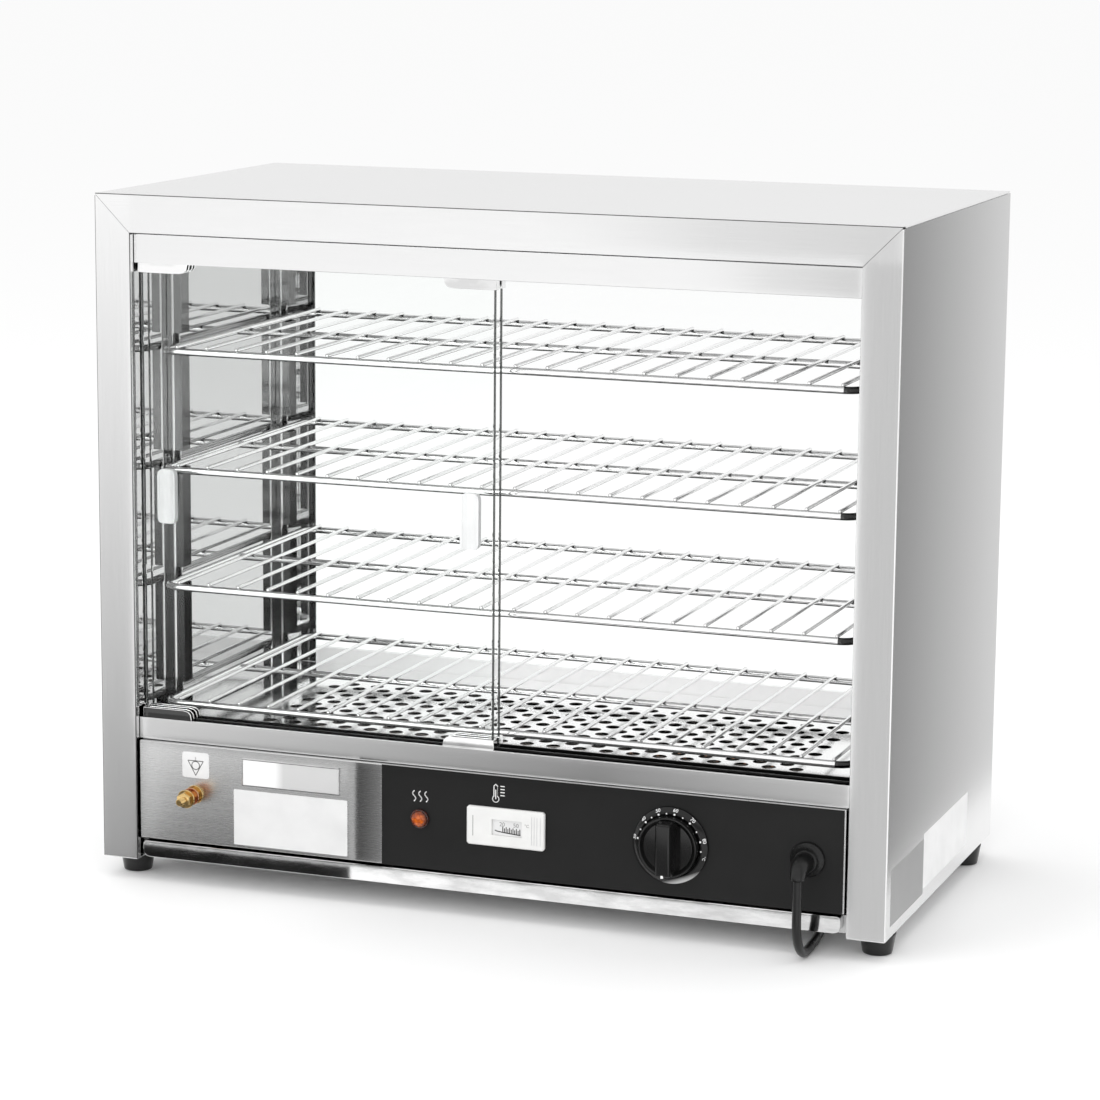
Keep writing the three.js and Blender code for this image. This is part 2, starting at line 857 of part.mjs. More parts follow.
function perforatedPlate() {
  const shape = new THREE.Shape([
    point(-plateHalf, plateFront), point(plateHalf, plateFront),
    point(plateHalf, plateRear), point(-plateHalf, plateRear),
  ]);
  const across = 2 * (plateHalf - plateBorder);
  const firstY = plateFront + plateFrontBorder;
  const along = plateRear - plateBorder - firstY;
  const columns = Math.floor(across / holePitch);
  const rows = Math.floor(along / holeRow) + 1;
  for (let row = 0; row < rows; row++) {
    const shift = row % 2 === 0 ? 0 : holePitch / 2;
    const count = row % 2 === 0 ? columns : columns - 1;
    for (let i = 0; i < count; i++) {
      const x = shift + (i - (columns - 1) / 2) * holePitch;
      const hole = new THREE.Path();
      for (let s = 0; s < hexSides; s++) {
        const turn = (2 * Math.PI * s) / hexSides;
        const y = firstY + row * holeRow;
        const corner = point(x + holeRadius * Math.cos(turn), y + holeRadius * Math.sin(turn));
        if (s === 0) hole.moveTo(corner.x, corner.y);
        else hole.lineTo(corner.x, corner.y);
      }
      hole.closePath();
      shape.holes.push(hole);
    }
  }
  const plate = upright(shape, [plateBottom, plateTop]);
  const edges = [
    [plateFront, plateFront + sheet],
    [plateRear - sheet, plateRear],
  ].map((y) => box([-plateHalf, plateHalf], y, [plateBottom - plateEdge, plateTop]));
  return join(plate, ...edges);
}

function elementEnd() {
  return width * elementEndShare;
}

function elementLines(index) {
  const middle = trayFront + (trayRear - trayFront) * elementPairShares[index];
  return [middle - elementSpacing / 2, middle + elementSpacing / 2];
}

function bulbLine() {
  return trayFront + sheet + bulbInset;
}

function heaterTray() {
  const half = innerHalf - clearance;
  const shell = box([-half, half], [trayFront, trayRear], [trayFloor, plateBottom - clearance]);
  const hollow = box(
    [-half + sheet, half - sheet],
    [trayFront + sheet, trayRear - sheet],
    [trayFloor + sheet, plateBottom + overrun],
  );
  const tails = elementPairShares.flatMap((share, index) =>
    elementLines(index).map((y) => {
      const z = [trayFloor - overrun, trayFloor + sheet + overrun];
      const profile = [point(0, z[0]), point(elementHole, z[0]), point(elementHole, z[1]), point(0, z[1])];
      return turnedUpright(profile, elementEnd(), y, smallSides);
    }),
  );
  const wallSpan = [trayFront - overrun, trayFront + sheet + overrun];
  const capillary = barBack(capillaryHole, capillaryX(), bulbHeight(), wallSpan, rodSides);
  return cut(shell, hollow, ...tails, capillary);
}

function heatingElement(index) {
  const [front, rear] = elementLines(index);
  const end = elementEnd();
  const low = elementHeight - elementTail;
  const corners = [
    vector(end, front, low),
    vector(end, front, elementHeight),
    vector(-end, front, elementHeight),
    vector(-end, rear, elementHeight),
    vector(end, rear, elementHeight),
    vector(end, rear, low),
  ];
  const rod = evenTube(bentPath(corners, elementBend, false), elementRadius, rodSides, vector(0, 1, 0), false);
  const pins = [front, rear].map((y) =>
    evenTube(
      [vector(end, y, low + elementPin / 2), vector(end, y, low - elementPin)],
      elementPinRadius,
      rodSides,
      vector(0, 1, 0),
      false,
    ),
  );
  return join(rod, ...pins);
}

// An upright strip with open notches that hold the two elements and the sensing bulb.
function elementBracket(side) {
  const x = side * width * bracketShare;
  const bottom = trayFloor + sheet + clearance;
  const top = elementHeight + bracketRise;
  const lines = [...elementLines(0), ...elementLines(1)];
  const front = side > 0 ? bulbLine() - bracketMargin : lines[0] - bracketMargin;
  const strip = box([x - sheet / 2, x + sheet / 2], [front, lines.at(-1) + bracketMargin], [bottom, top]);
  const along = vector(1, 0, 0);
  const notch = (y, z, radius) => {
    const ends = [vector(x - overrun, y, z), vector(x + overrun, y, z)];
    const round = evenTube(ends, radius, smallSides, vector(0, 0, 1), false);
    return join(round, box([x - overrun, x + overrun], [y - radius, y + radius], [z, top + overrun]));
  };
  const notches = lines.map((y) => notch(y, elementHeight, elementRadius + clearance));
  if (side > 0) notches.push(notch(bulbLine(), bulbHeight(), bulbRadius + clearance));
  return cut(strip, ...notches);
}

function bulbHeight() {
  return trayFloor + sheet + bulbRise - bulbRadius;
}

function capillaryX() {
  return width * bracketShare + bulbLength / 2 + capillaryBend * 2;
}

function sensingBulb() {
  const z = bulbHeight();
  const y = bulbLine();
  const start = panelSetback + sheet + clearance + bushLength + thermostatDepth + clearance;
  const bulbEnd = capillaryX() - 2 * capillaryBend;
  const turnY = (start + trayFront) / 2;
  const thin = bentPath(
    [
      vector(knobX, start, controlsHeight),
      vector(knobX, turnY, controlsHeight),
      vector(knobX, turnY, z),
      vector(capillaryX(), turnY, z),
      vector(capillaryX(), y, z),
      vector(bulbEnd, y, z),
    ],
    capillaryBend,
    false,
  );
  const thick = [vector(bulbEnd, y, z), vector(bulbEnd - bulbLength, y, z)];
  const capillary = evenTube(thin, capillaryRadius, wireSides, vector(1, 0, 0), false);
  return join(capillary, evenTube(thick, bulbRadius, rodSides, vector(0, 1, 0), false));
}

// Thermostat, knob and dial ring

function dialRing() {
  const back = controlsFace;
  const profile = [
    point(dialBore, back),
    point(dialRadius, back),
    point(dialRadius, back - dialFlat),
    point(dialBore + dialLand, back - dialDepth),
    point(dialBore, back - dialDepth),
    point(dialBore, back),
  ];
  return turned(profile, knobX, controlsHeight, roundSides + smallSides);
}

function thermostatKnob() {
  const back = overlayFront - knobBack;
  const rim = back - knobSkirt;
  const floor = rim + knobDish;
  const profile = [
    point(0, back),
    point(knobRadius, back),
    point(knobRadius, rim + knobRim / 2),
    point(knobRadius - knobRim / 2, rim),
    point(knobRadius - knobRim, rim),
    point(knobRadius - knobRim - knobSlope, floor),
    point(0, floor),
  ];
  const disc = turned(profile, knobX, controlsHeight, roundSides + smallSides);
  const front = overlayFront - gripReach;
  const half = gripWidth / 2;
  const grip = upright(
    [
      point(knobX - half, floor + overrun / 2),
      point(knobX + half, floor + overrun / 2),
      point(knobX + half - gripTaper, front),
      point(knobX - half + gripTaper, front),
    ],
    [controlsHeight - gripHalf, controlsHeight + gripHalf],
  );
  const round = barBack(gripHalf, knobX, controlsHeight, [front - overrun, back], roundSides + smallSides);
  const bore = barBack(
    spindleRadius + clearance,
    knobX,
    controlsHeight,
    [overlayFront - spindleFront - clearance, back + overrun],
    smallSides,
  );
  return cut(join(disc, grip.intersect(round)), bore);
}

function thermostatSpindle() {
  const y = [overlayFront - spindleFront, panelSetback + sheet + spindleRear];
  const rod = barBack(spindleRadius, knobX, controlsHeight, y, smallSides);
  const flat = box(
    [knobX - spindleRadius - overrun, knobX + spindleRadius + overrun],
    [y[0] - overrun, overlayFront],
    [controlsHeight + spindleFlat, controlsHeight + spindleRadius + overrun],
  );
  return cut(rod, flat);
}

function thermostatBody() {
  const shoulder = panelSetback + sheet + clearance;
  const front = shoulder + bushLength;
  const bush = barBack(bushRadius, knobX, controlsHeight, [overlayFront - bushFront, front + overrun], smallSides);
  const nut = turned(
    [
      point(0, shoulder),
      point(bushNutRadius, shoulder),
      point(bushNutRadius, shoulder + bushLength / 2),
      point(0, shoulder + bushLength / 2),
    ],
    knobX,
    controlsHeight,
    hexSides,
  );
  const housing = box(
    [knobX - thermostatWidth / 2, knobX + thermostatWidth / 2],
    [front, front + thermostatDepth],
    [controlsHeight - thermostatHeight / 2, controlsHeight + thermostatHeight / 2],
  );
  const bore = barBack(
    spindleRadius + clearance,
    knobX,
    controlsHeight,
    [overlayFront - bushFront - overrun, panelSetback + sheet + spindleRear + clearance],
    smallSides,
  );
  return cut(join(bush, nut, housing), bore);
}

// Thermometer, lamp, earth stud and cable gland

function thermometer() {
  const x = thermometerX;
  const z = controlsHeight;
  const back = controlsFace;
  const half = thermometerWidth / 2;
  const tall = thermometerHeight / 2;
  const bezel = new THREE.ExtrudeGeometry(
    roundedBox(
      [-half + thermometerBevel, half - thermometerBevel],
      [-tall + thermometerBevel, tall - thermometerBevel],
      thermometerBevel,
    ),
    {
      depth: thermometerBezel - thermometerBevel,
      bevelThickness: thermometerBevel,
      bevelSize: thermometerBevel,
      bevelSegments: 1,
      curveSegments: 1,
    },
  );
  bezel.rotateX(Math.PI / 2).translate(x, back, z);
  const behind = box(
    [x - half - overrun, x + half + overrun],
    [back, back + overrun],
    [z - tall - overrun, z + tall + overrun],
  );
  const front = cut(solid(bezel), behind);
  const housing = box(
    [x - thermometerBodyWidth / 2, x + thermometerBodyWidth / 2],
    [back - thermometerBezel / 2, panelSetback + thermometerBodyDepth],
    [z - thermometerBodyHeight / 2, z + thermometerBodyHeight / 2],
  );
  const windowX = x + windowShift;
  const window = box(
    [windowX - windowWidth / 2, windowX + windowWidth / 2],
    [back - thermometerBezel - overrun, back - thermometerBezel + windowDepth],
    [z - windowHeight / 2, z + windowHeight / 2],
  );
  return cut(join(front, housing), window);
}

function indicatorLamp() {
  const back = controlsFace;
  const profile = [
    point(0, back + lampLength),
    point(lampBarrel, back + lampLength),
    point(lampBarrel, back),
    point(lampRadius, back),
    point(lampRadius, back - lampRim),
  ];
  for (let i = 0; i <= bendSteps; i++) {
    const turn = (Math.PI / 2) * (i / bendSteps);
    const rise = lampRim + (lampDome - lampRim) * Math.sin(turn);
    profile.push(point(i < bendSteps ? lampDomeRadius * Math.cos(turn) : 0, back - rise));
  }
  return turned(profile, lampX, controlsHeight, roundSides);
}

// A nut with its washer behind it, round the stud.
function nutAndWasher(back) {
  const washerFront = back - washerHeight;
  const washer = barBack(washerRadius, studX, controlsHeight, [washerFront, back], roundSides);
  const nutSpan = [washerFront - nutHeight, washerFront + washerHeight / 2];
  return join(washer, barBack(nutRadius, studX, controlsHeight, nutSpan, hexSides));
}

// The stud with the clamping nut that is run tight on it.
function earthStud() {
  const y = [panelSetback - studReach, panelSetback + sheet + studTail];
  const rod = barBack(studRadius, studX, controlsHeight, y, smallSides);
  return join(rod, nutAndWasher(panelSetback - studReach * outerNutShare));
}

// The nut that holds the stud to the panel, bored for it.
function earthNut() {
  const back = panelSetback - clearance;
  const boreSpan = [back - washerHeight - nutHeight - overrun, back + overrun];
  const bore = barBack(studRadius + clearance, studX, controlsHeight, boreSpan, smallSides);
  return cut(nutAndWasher(back), bore);
}

// Flange and neck on the panel, then a tapered elbow that turns the lead down.
function cableGland() {
  const back = controlsFace;
  const profile = [
    point(0, panelSetback + glandTail),
    point(glandBarrel, panelSetback + glandTail),
    point(glandBarrel, back),
    point(glandFlange, back),
    point(glandFlange, back - glandRim / 2),
    point(glandFlange - glandRim / 2, back - glandRim),
    point(glandNeck, back - glandShoulder),
    point(0, back - glandShoulder),
  ];
  const base = turned(profile, glandX, controlsHeight, roundSides);
  const bendY = panelSetback - bootRun;
  const centre = [bendY, controlsHeight - bootBend];
  const path = [vector(glandX, back - glandRim, controlsHeight)];
  const steps = 2 * bendSteps;
  for (let i = 0; i <= steps; i++) {
    const turn = (Math.PI / 2) * (i / steps);
    path.push(vector(glandX, centre[0] - bootBend * Math.sin(turn), centre[1] + bootBend * Math.cos(turn)));
  }
  const radii = path.map((at, i) => bootStart + (bootEnd - bootStart) * (i / (path.length - 1)));
  return join(base, tube(path, radii, smallSides, vector(1, 0, 0), false));
}

function terminalBlock() {
  const x = width * terminalShare;
  const bottom = panTop + clearance;
  const base = box(
    [x - terminalLength / 2, x + terminalLength / 2],
    [terminalSetback, terminalSetback + terminalDepth],
    [bottom, bottom + terminalBase],
  );
  const pitch = (terminalLength - terminalRib) / terminalWays;
  const ribs = [];
  for (let i = 0; i <= terminalWays; i++) {
    const from = x - terminalLength / 2 + i * pitch;
    ribs.push(
      box(
        [from, from + terminalRib],
        [terminalSetback, terminalSetback + terminalDepth],
        [bottom, bottom + terminalBase + terminalRise],
      ),
    );
  }
  return join(base, ...ribs);
}

function foot(sideX, rear) {
  const x = sideX * (width / 2 - footInsetX);
  const y = rear ? depth - footInsetY : footInsetY;
  const profile = [
    point(0, -footHeight),
    point(footBaseRadius - footEdge, -footHeight),
    point(footBaseRadius, footEdge - footHeight),
    point(footTopRadius, -footRim),
    point(footTopRadius, -clearance),
    point(0, -clearance),
  ];
  return turnedUpright(profile, x, y, footSides);
}

// Mains lead, its coil and the plug, in the object's own frame

function leadPoints() {
  return leadRoute.map((at) => vector(...at));
}

// The coil starts where the route ends, winds inwards, climbs one layer and winds out again.
function coilPoints() {
  const [startX, routeEnd] = leadRoute.at(-1);
  const startY = routeEnd + clearance + coilStraight;
  const centreX = startX - coilRadius;
  const points = [vector(startX, startY - coilStraight, leadRest)];
  const total = 2 * coilTurns;
  for (let i = 0; i <= total * coilSteps; i++) {
    const turns = i / coilSteps;
    const wound = Math.min(turns, total - turns);
    const radius = coilRadius - coilPitch * wound;
    const climbStart = coilTurns - coilClimbTurns / 2;
    const climb = THREE.MathUtils.smoothstep(turns, climbStart, climbStart + coilClimbTurns);
    const angle = 2 * Math.PI * turns;
    points.push(
      vector(centreX + radius * Math.cos(angle), startY + radius * Math.sin(angle), leadRest + coilPitch * climb),
    );
  }
  const end = points.at(-1);
  points.push(vector(end.x - coilTail / 2, end.y, end.z), vector(end.x - coilTail, end.y, end.z));
  return points;
}

// The least gap between the coil's turns, between points that are half a turn or more apart along it.
function leastCoilGap(points) {
  let least = Infinity;
  points.forEach((a, i) => {
    points.slice(i + coilSteps / 2).forEach((b) => {
      least = Math.min(least, a.distanceTo(b));
    });
  });
  return least - 2 * leadRadius;
}

function plug(at) {
  const end = at.x - clearance;
  const body = end - plugNeck;
  const front = body - plugLength;
  const half = plugWidth / 2;
  const outline = rounded([
    [front, at.y - half, plugCorner],
    [body, at.y - half, plugShoulder],
    [body, at.y + half, plugShoulder],
    [front, at.y + half, plugCorner],
  ]);
  const housing = upright(outline, [at.z - plugThickness / 2, at.z + plugThickness / 2]);
  const neckPath = [vector(end, at.y, at.z), vector(body - plugCorner, at.y, at.z)];
  const neck = tube(neckPath, [plugNeckEnd, plugNeckRadius], smallSides, vector(0, 0, 1), false);
  const pin = (y, z, pinY, pinZ) =>
    box(
      [front - pinLength, front + plugCorner / 2],
      [at.y + y - pinY / 2, at.y + y + pinY / 2],
      [at.z + z - pinZ / 2, at.z + z + pinZ / 2],
    );
  const pins = [-1, 1].map((side) => pin((side * pinSpacing) / 2, pinRise, pinThickness, pinWidth));
  return join(housing, neck, ...pins, pin(0, -pinEarthDrop, pinEarthWidth, pinThickness));
}

// Assembly

const object = new THREE.Group();
object.name = "pie_warmer";

const cabinet = new THREE.Group();
cabinet.position.set(0, cabinetShift, footHeight);
object.add(cabinet);

add(cabinet, "side_panel_left", sidePanel(-1), brushedSteel());
add(cabinet, "side_panel_right", sidePanel(1), brushedSteel());
add(cabinet, "top_panel", topPanel(), brushedSteel());
add(cabinet, "upper_track", track(headerTop, headerBottom), brushedSteel());
add(cabinet, "lower_track", track(sillBottom, sillTop), brushedSteel());
add(cabinet, "control_panel", controlPanel(), brushedSteel());
add(cabinet, "panel_overlay", panelOverlay(), overlayFilm());
add(cabinet, "lower_trim", lowerTrim(), polishedSteel());
add(cabinet, "base_pan", basePan(), brushedSteel());
add(cabinet, "rear_lower_panel", rearLowerPanel(), brushedSteel());
add(cabinet, "inner_wall_left", innerWall(-1), polishedSteel());
add(cabinet, "inner_wall_right", innerWall(1), polishedSteel());
add(cabinet, "inner_ceiling", innerCeiling(), polishedSteel());
add(cabinet, "rear_sill_channel", rearChannel(sillBottom, sillBottom + channelHeight), brushedSteel());
add(cabinet, "rear_head_channel", rearChannel(headerTop, headerTop - channelHeight), brushedSteel());
add(cabinet, "rear_pane", rearPane(), clearGlass());

const doorNames = ["front_track_door", "rear_track_door"];
doorNames.forEach((name, index) => {
  const door = new THREE.Group();
  cabinet.add(door);
  add(door, name + "_pane", doorPane(index), clearGlass());
  for (const [rowName, atTop] of [["lower", false], ["upper", true]]) {
    for (const [sideName, atRight] of [["left", false], ["right", true]]) {
      add(door, `${name}_${rowName}_${sideName}_clip`, doorClip(index, atRight, atTop), polishedSteel());
    }
  }
  const pullX = index === 0 ? doorLeft + doorWidth - pullEdge : doorLeft + pullEdge;
  add(door, name + "_pull", doorPull(index, pullX), frostedPlastic());
});

for (let i = 0; i < rackCount; i++) add(cabinet, `wire_rack_${i + 1}`, wireRack(i), polishedSteel());
for (const [sideName, side] of [["left", -1], ["right", 1]]) {
  add(cabinet, `rack_post_front_${sideName}`, rackPost(side, postFrontY), polishedSteel());
  add(cabinet, `rack_post_rear_${sideName}`, rackPost(side, postRearY), polishedSteel());
  add(cabinet, `foot_front_${sideName}`, foot(side, false), blackRubber());
  add(cabinet, `foot_rear_${sideName}`, foot(side, true), blackRubber());
  add(cabinet, `element_bracket_${sideName}`, elementBracket(side), brushedSteel());
}

add(cabinet, "perforated_plate", perforatedPlate(), brushedSteel());
add(cabinet, "heater_tray", heaterTray(), polishedSteel());
add(cabinet, "heating_element_front", heatingElement(0), brushedSteel());
add(cabinet, "heating_element_rear", heatingElement(1), brushedSteel());
add(cabinet, "sensing_bulb", sensingBulb(), brass());
add(cabinet, "thermostat_body", thermostatBody(), whitePlastic());
add(cabinet, "dial_ring", dialRing(), blackPlastic());
add(cabinet, "thermometer", thermometer(), whitePlastic());
add(cabinet, "indicator_lamp", indicatorLamp(), amberLens());
add(cabinet, "earth_stud", earthStud(), brass());
add(cabinet, "earth_nut", earthNut(), brass());
add(cabinet, "cable_gland", cableGland(), blackPlastic());
add(cabinet, "terminal_block", terminalBlock(), whitePlastic());

const knob = new THREE.Group();
cabinet.add(knob);
add(knob, "thermostat_knob", thermostatKnob(), blackPlastic());
add(knob, "thermostat_spindle", thermostatSpindle(), brushedSteel());

const cord = new THREE.Group();
object.add(cord);
const coil = coilPoints();
add(cord, "mains_lead", evenTube(leadPoints(), leadRadius, leadSides, vector(1, 0, 0), false), blackRubber());
add(cord, "mains_lead_coil", evenTube(coil, leadRadius, coilSides, vector(0, 0, 1), false), blackRubber());
add(cord, "mains_plug", plug(coil.at(-1)), blackPlastic());
console.log("least gap in the coil, mm", leastCoilGap(coil).toFixed(2));

export default object;
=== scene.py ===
# %% [markdown]
# # A countertop pie warmer, dressed for the studio
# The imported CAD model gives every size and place. Blender adds what a photograph sees: rounded folds, round
# wires, grain in the steel, print on the dial and clear glass. Each step below says what the real piece is,
# how it could be made, and why this way was chosen.

# %% Load the frame
import math

import bmesh
import bpy
from mathutils import Matrix, Vector


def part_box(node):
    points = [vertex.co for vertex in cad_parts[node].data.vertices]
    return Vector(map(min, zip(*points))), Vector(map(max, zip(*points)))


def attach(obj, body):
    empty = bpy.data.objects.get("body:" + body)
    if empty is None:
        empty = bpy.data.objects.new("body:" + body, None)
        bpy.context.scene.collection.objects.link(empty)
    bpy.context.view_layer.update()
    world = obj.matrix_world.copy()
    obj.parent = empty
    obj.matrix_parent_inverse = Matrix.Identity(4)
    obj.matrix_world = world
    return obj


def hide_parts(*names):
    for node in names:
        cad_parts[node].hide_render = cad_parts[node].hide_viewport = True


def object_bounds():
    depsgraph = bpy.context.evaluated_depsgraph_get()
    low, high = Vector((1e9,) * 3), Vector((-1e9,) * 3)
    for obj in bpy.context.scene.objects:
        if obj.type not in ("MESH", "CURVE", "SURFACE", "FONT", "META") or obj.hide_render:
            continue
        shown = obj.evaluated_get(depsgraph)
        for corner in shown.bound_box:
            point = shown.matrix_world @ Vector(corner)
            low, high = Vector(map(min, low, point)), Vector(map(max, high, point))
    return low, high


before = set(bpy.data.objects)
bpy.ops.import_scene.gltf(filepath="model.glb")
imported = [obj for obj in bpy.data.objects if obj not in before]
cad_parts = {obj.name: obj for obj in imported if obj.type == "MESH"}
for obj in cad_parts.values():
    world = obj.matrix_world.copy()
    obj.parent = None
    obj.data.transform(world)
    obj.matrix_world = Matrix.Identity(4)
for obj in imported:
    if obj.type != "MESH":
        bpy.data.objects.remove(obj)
cad_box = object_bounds()
print("CAD box, metres:", *cad_box)

# %% [markdown]
# The CAD part is drawn from the cabinet's front plane backwards and from its underside upwards. The frame has
# its origin under the middle of the whole object, so one helper turns cabinet millimetres into frame metres.

# %% Units, places and directions
mm = 0.001
cabinet_shift = Vector((0, -148, 17))
X = Vector((1, 0, 0))
Y = Vector((0, 1, 0))
Z = Vector((0, 0, 1))
along_x, along_y, along_z = range(3)


def spot(x, y, z):
    """A point of the cabinet, in millimetres from its front plane and underside, in the frame's metres."""
    return (Vector((x, y, z)) + cabinet_shift) * mm


def node_middle(node):
    low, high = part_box(node)
    return (low + high) / 2


def placed(name, data):
    """A new object in the scene, from a mesh, a curve, a lamp or a lens."""
    made = bpy.data.objects.new(name, data)
    bpy.context.scene.collection.objects.link(made)
    return made


def mesh_of(bm, name, material):
    """Makes a bmesh a mesh with its material, and frees it."""
    mesh = bpy.data.meshes.new(name)
    bm.to_mesh(mesh)
    bm.free()
    mesh.materials.append(material)
    return mesh


def aimed(place, axis):
    """The matrix that stands a shape's own Z along an axis, at a place."""
    return Matrix.Translation(place) @ Z.rotation_difference(axis).to_matrix().to_4x4()


print("underside of the cabinet, metres:", round(spot(0, 0, 0).z, 4))

# %% [markdown]
# ## Camera
# The photograph was taken with a long lens, from the right and a little above. The place and the angles come
# from the corners of the cabinet, so the camera is built from its viewing direction.

# %% Camera
image_pixels = 1100
focal_pixels = 3565
sensor_mm = 36
camera_place = Vector((958.1, -2595.6, 781.7)) * mm
azimuth, tilt, roll = (math.radians(a) for a in (-20.244, 10.641, 0.5))

forward = Vector((math.sin(azimuth) * math.cos(tilt), math.cos(azimuth) * math.cos(tilt), -math.sin(tilt)))
level_right = Vector((math.cos(azimuth), -math.sin(azimuth), 0))
level_up = level_right.cross(forward)
right = level_right * math.cos(roll) + level_up * math.sin(roll)
up = level_up * math.cos(roll) - level_right * math.sin(roll)

lens = bpy.data.cameras.new("photo_camera")
lens.sensor_width = sensor_mm
lens.lens = focal_pixels / image_pixels * sensor_mm
lens.clip_end = 50
camera = placed("photo_camera", lens)
turn = Matrix((right, up, -forward)).transposed().to_4x4()
camera.matrix_world = Matrix.Translation(camera_place) @ turn
bpy.context.scene.camera = camera
bpy.context.scene.view_settings.view_transform = "Standard"
print("lens, mm:", round(lens.lens, 1))

# %% [markdown]
# ## A way to write materials
# Shader maths reads best as plain sums and products. One small class wraps a node's output and adds Math
# nodes for the operators, and one method of the material class makes every other node.

# %% Shader sums


class Wire:
    """One output of a shader node. Sums and products of wires add Math nodes."""

    def __init__(self, paint, socket):
        self.paint = paint
        self.socket = socket

    def maths(self, operation, first, second):
        return self.paint.node("ShaderNodeMath", {"operation": operation}, {0: first, 1: second})

    def __add__(self, other):
        return self.maths("ADD", self, other)

    __radd__ = __add__

    def __sub__(self, other):
        return self.maths("SUBTRACT", self, other)

    def __rsub__(self, other):
        return self.maths("SUBTRACT", other, self)

    def __mul__(self, other):
        return self.maths("MULTIPLY", self, other)

    __rmul__ = __mul__


# %% Material class


class Paint:
    """A material, with its Principled surface and its object coordinates ready."""

    def __init__(self, name, color, roughness, **constants):
        self.material = bpy.data.materials.new(name)
        self.material.use_nodes = True
        self.tree = self.material.node_tree
        self.surface = self.tree.nodes["Principled BSDF"]
        self.set({"Base Color": (*color, 1), "Roughness": roughness})
        for word, value in constants.items():
            self.set({word.replace("_", " ").title().replace("Ior", "IOR"): value})
        self.place = self.node("ShaderNodeTexCoord", output="Object")

    def set(self, inputs, on=None):
        for name, value in inputs.items():
            socket = (on or self.surface).inputs[name]
            if isinstance(value, Wire):
                self.tree.links.new(value.socket, socket)
            else:
                socket.default_value = value

    def node(self, kind, settings=None, inputs=None, output=0):
        made = self.tree.nodes.new(kind)
        for name, value in (settings or {}).items():
            setattr(made, name, value)
        self.set(inputs or {}, made)
        return Wire(self, made.outputs[output])

    def along(self, axis, vector=None):
        """One coordinate of the place on the object, or of another vector."""
        return self.node("ShaderNodeSeparateXYZ", {}, {"Vector": vector or self.place}, axis)

    def share(self, value, low, high, **settings):
        """0 where the value is low, 1 where it is high, and even between the two."""
        return self.node("ShaderNodeMapRange", settings, {"Value": value, "From Min": low, "From Max": high})

    def noise(self, scale, stretch=(1, 1, 1), detail=3):
        vector = self.node("ShaderNodeMapping", {}, {"Vector": self.place, "Scale": stretch})
        return self.node("ShaderNodeTexNoise", {}, {"Vector": vector, "Scale": scale, "Detail": detail})

    def blend(self, factor, *ends):
        """Mixes two colours, each a tuple or a wire."""
        first, second = (end if isinstance(end, Wire) else (*end, 1) for end in ends)
        return self.node("ShaderNodeMix", {"data_type": "RGBA"}, {0: factor, 6: first, 7: second}, output=2)

    def bump(self, height, depth, strength=1):
        inputs = {"Height": height, "Distance": depth, "Strength": strength}
        self.set({"Normal": self.node("ShaderNodeBump", {}, inputs)})


def grey(shade):
    return (shade, shade, shade)


def tinted(color, factor):
    return tuple(min(1, part * factor) for part in color)


# %% [markdown]
# ## Steel
# The casing is satin stainless: rolled sheet with a fine straight grain, which spreads the reflections along
# one direction. Grain could be an anisotropic shader, but it is invisible there in exports, so a stretched
# noise varies the roughness, the tone and a very shallow bump. Inner walls and trim are bright-polished.

# %% Steel finishes
steel_tone = grey(0.9)
grain_fine, grain_long = 2600, 22


def steel(name, tone, roughness, grain_axis, grain=1.0, cloud=0.04, metallic=1, painted_glow=0.0):
    """Rolled stainless sheet with its grain along one axis and faint clouds in its shine; painted_glow adds a
    painted glow in place of light.
    """
    paint = Paint(name, tone, roughness, metallic=metallic)
    stretch = [1.0, 1.0, 1.0]
    stretch[grain_axis] = grain_long / grain_fine
    lines = paint.noise(grain_fine, tuple(stretch), 2)
    clouds = paint.noise(7, (1, 1, 1), 4)
    paint.set({
        "Base Color": paint.blend(lines, tinted(tone, 1 - 0.06 * grain), tinted(tone, 1 + 0.03 * grain)),
        "Roughness": (lines - 0.5) * (0.1 * grain) + (clouds - 0.5) * cloud + roughness,
        "Emission Color": (1, 1, 1, 1),
        "Emission Strength": painted_glow,
    })
    paint.bump(lines, 0.002 * mm, 0.25 * grain)
    return paint.material


side_steel = steel("satin_steel_upright", steel_tone, 0.2, along_z)
rail_steel = steel("satin_steel_level", steel_tone, 0.2, along_x)
panel_steel = steel("satin_panel_steel", grey(0.78), 0.27, along_x, 0.9)
inner_steel = steel("plain_inner_steel", grey(0.62), 0.22, along_x, 0.8)
ceiling_steel = steel("bright_ceiling", grey(0.85), 0.3, along_x, 0.8, metallic=0.5)
wall_steel = steel("polished_wall_steel", grey(0.6), 0.03, along_y, 0.2, 0.02)
plate_steel = steel("plate_steel", grey(0.98), 0.1, along_x, 0.3)
# A painted glow brightens the rear sill in place of the light that its shaded place inside the cabinet lacks.
sill_steel = steel("rear_sill_painted_glow", grey(0.98), 0.3, along_x, 0.1, metallic=0.1, painted_glow=0.35)
painted_seam_shade = steel("painted_seam_shade", grey(0.14), 0.3, along_x, 0.3)
# Near-black chrome, for painted shade and a painted dark reflection.
chrome_painted_dark = steel("chrome_painted_dark", grey(0.07), 0.06, along_x, 0.2)
# The heater tray under the plate and the lower track's channel are painted near black as shade.
painted_shade_steel = steel("painted_shade_steel", grey(0.02), 0.4, along_x, 0.5)
track_steel = steel("track_steel", grey(0.9), 0.16, along_x, 0.8)

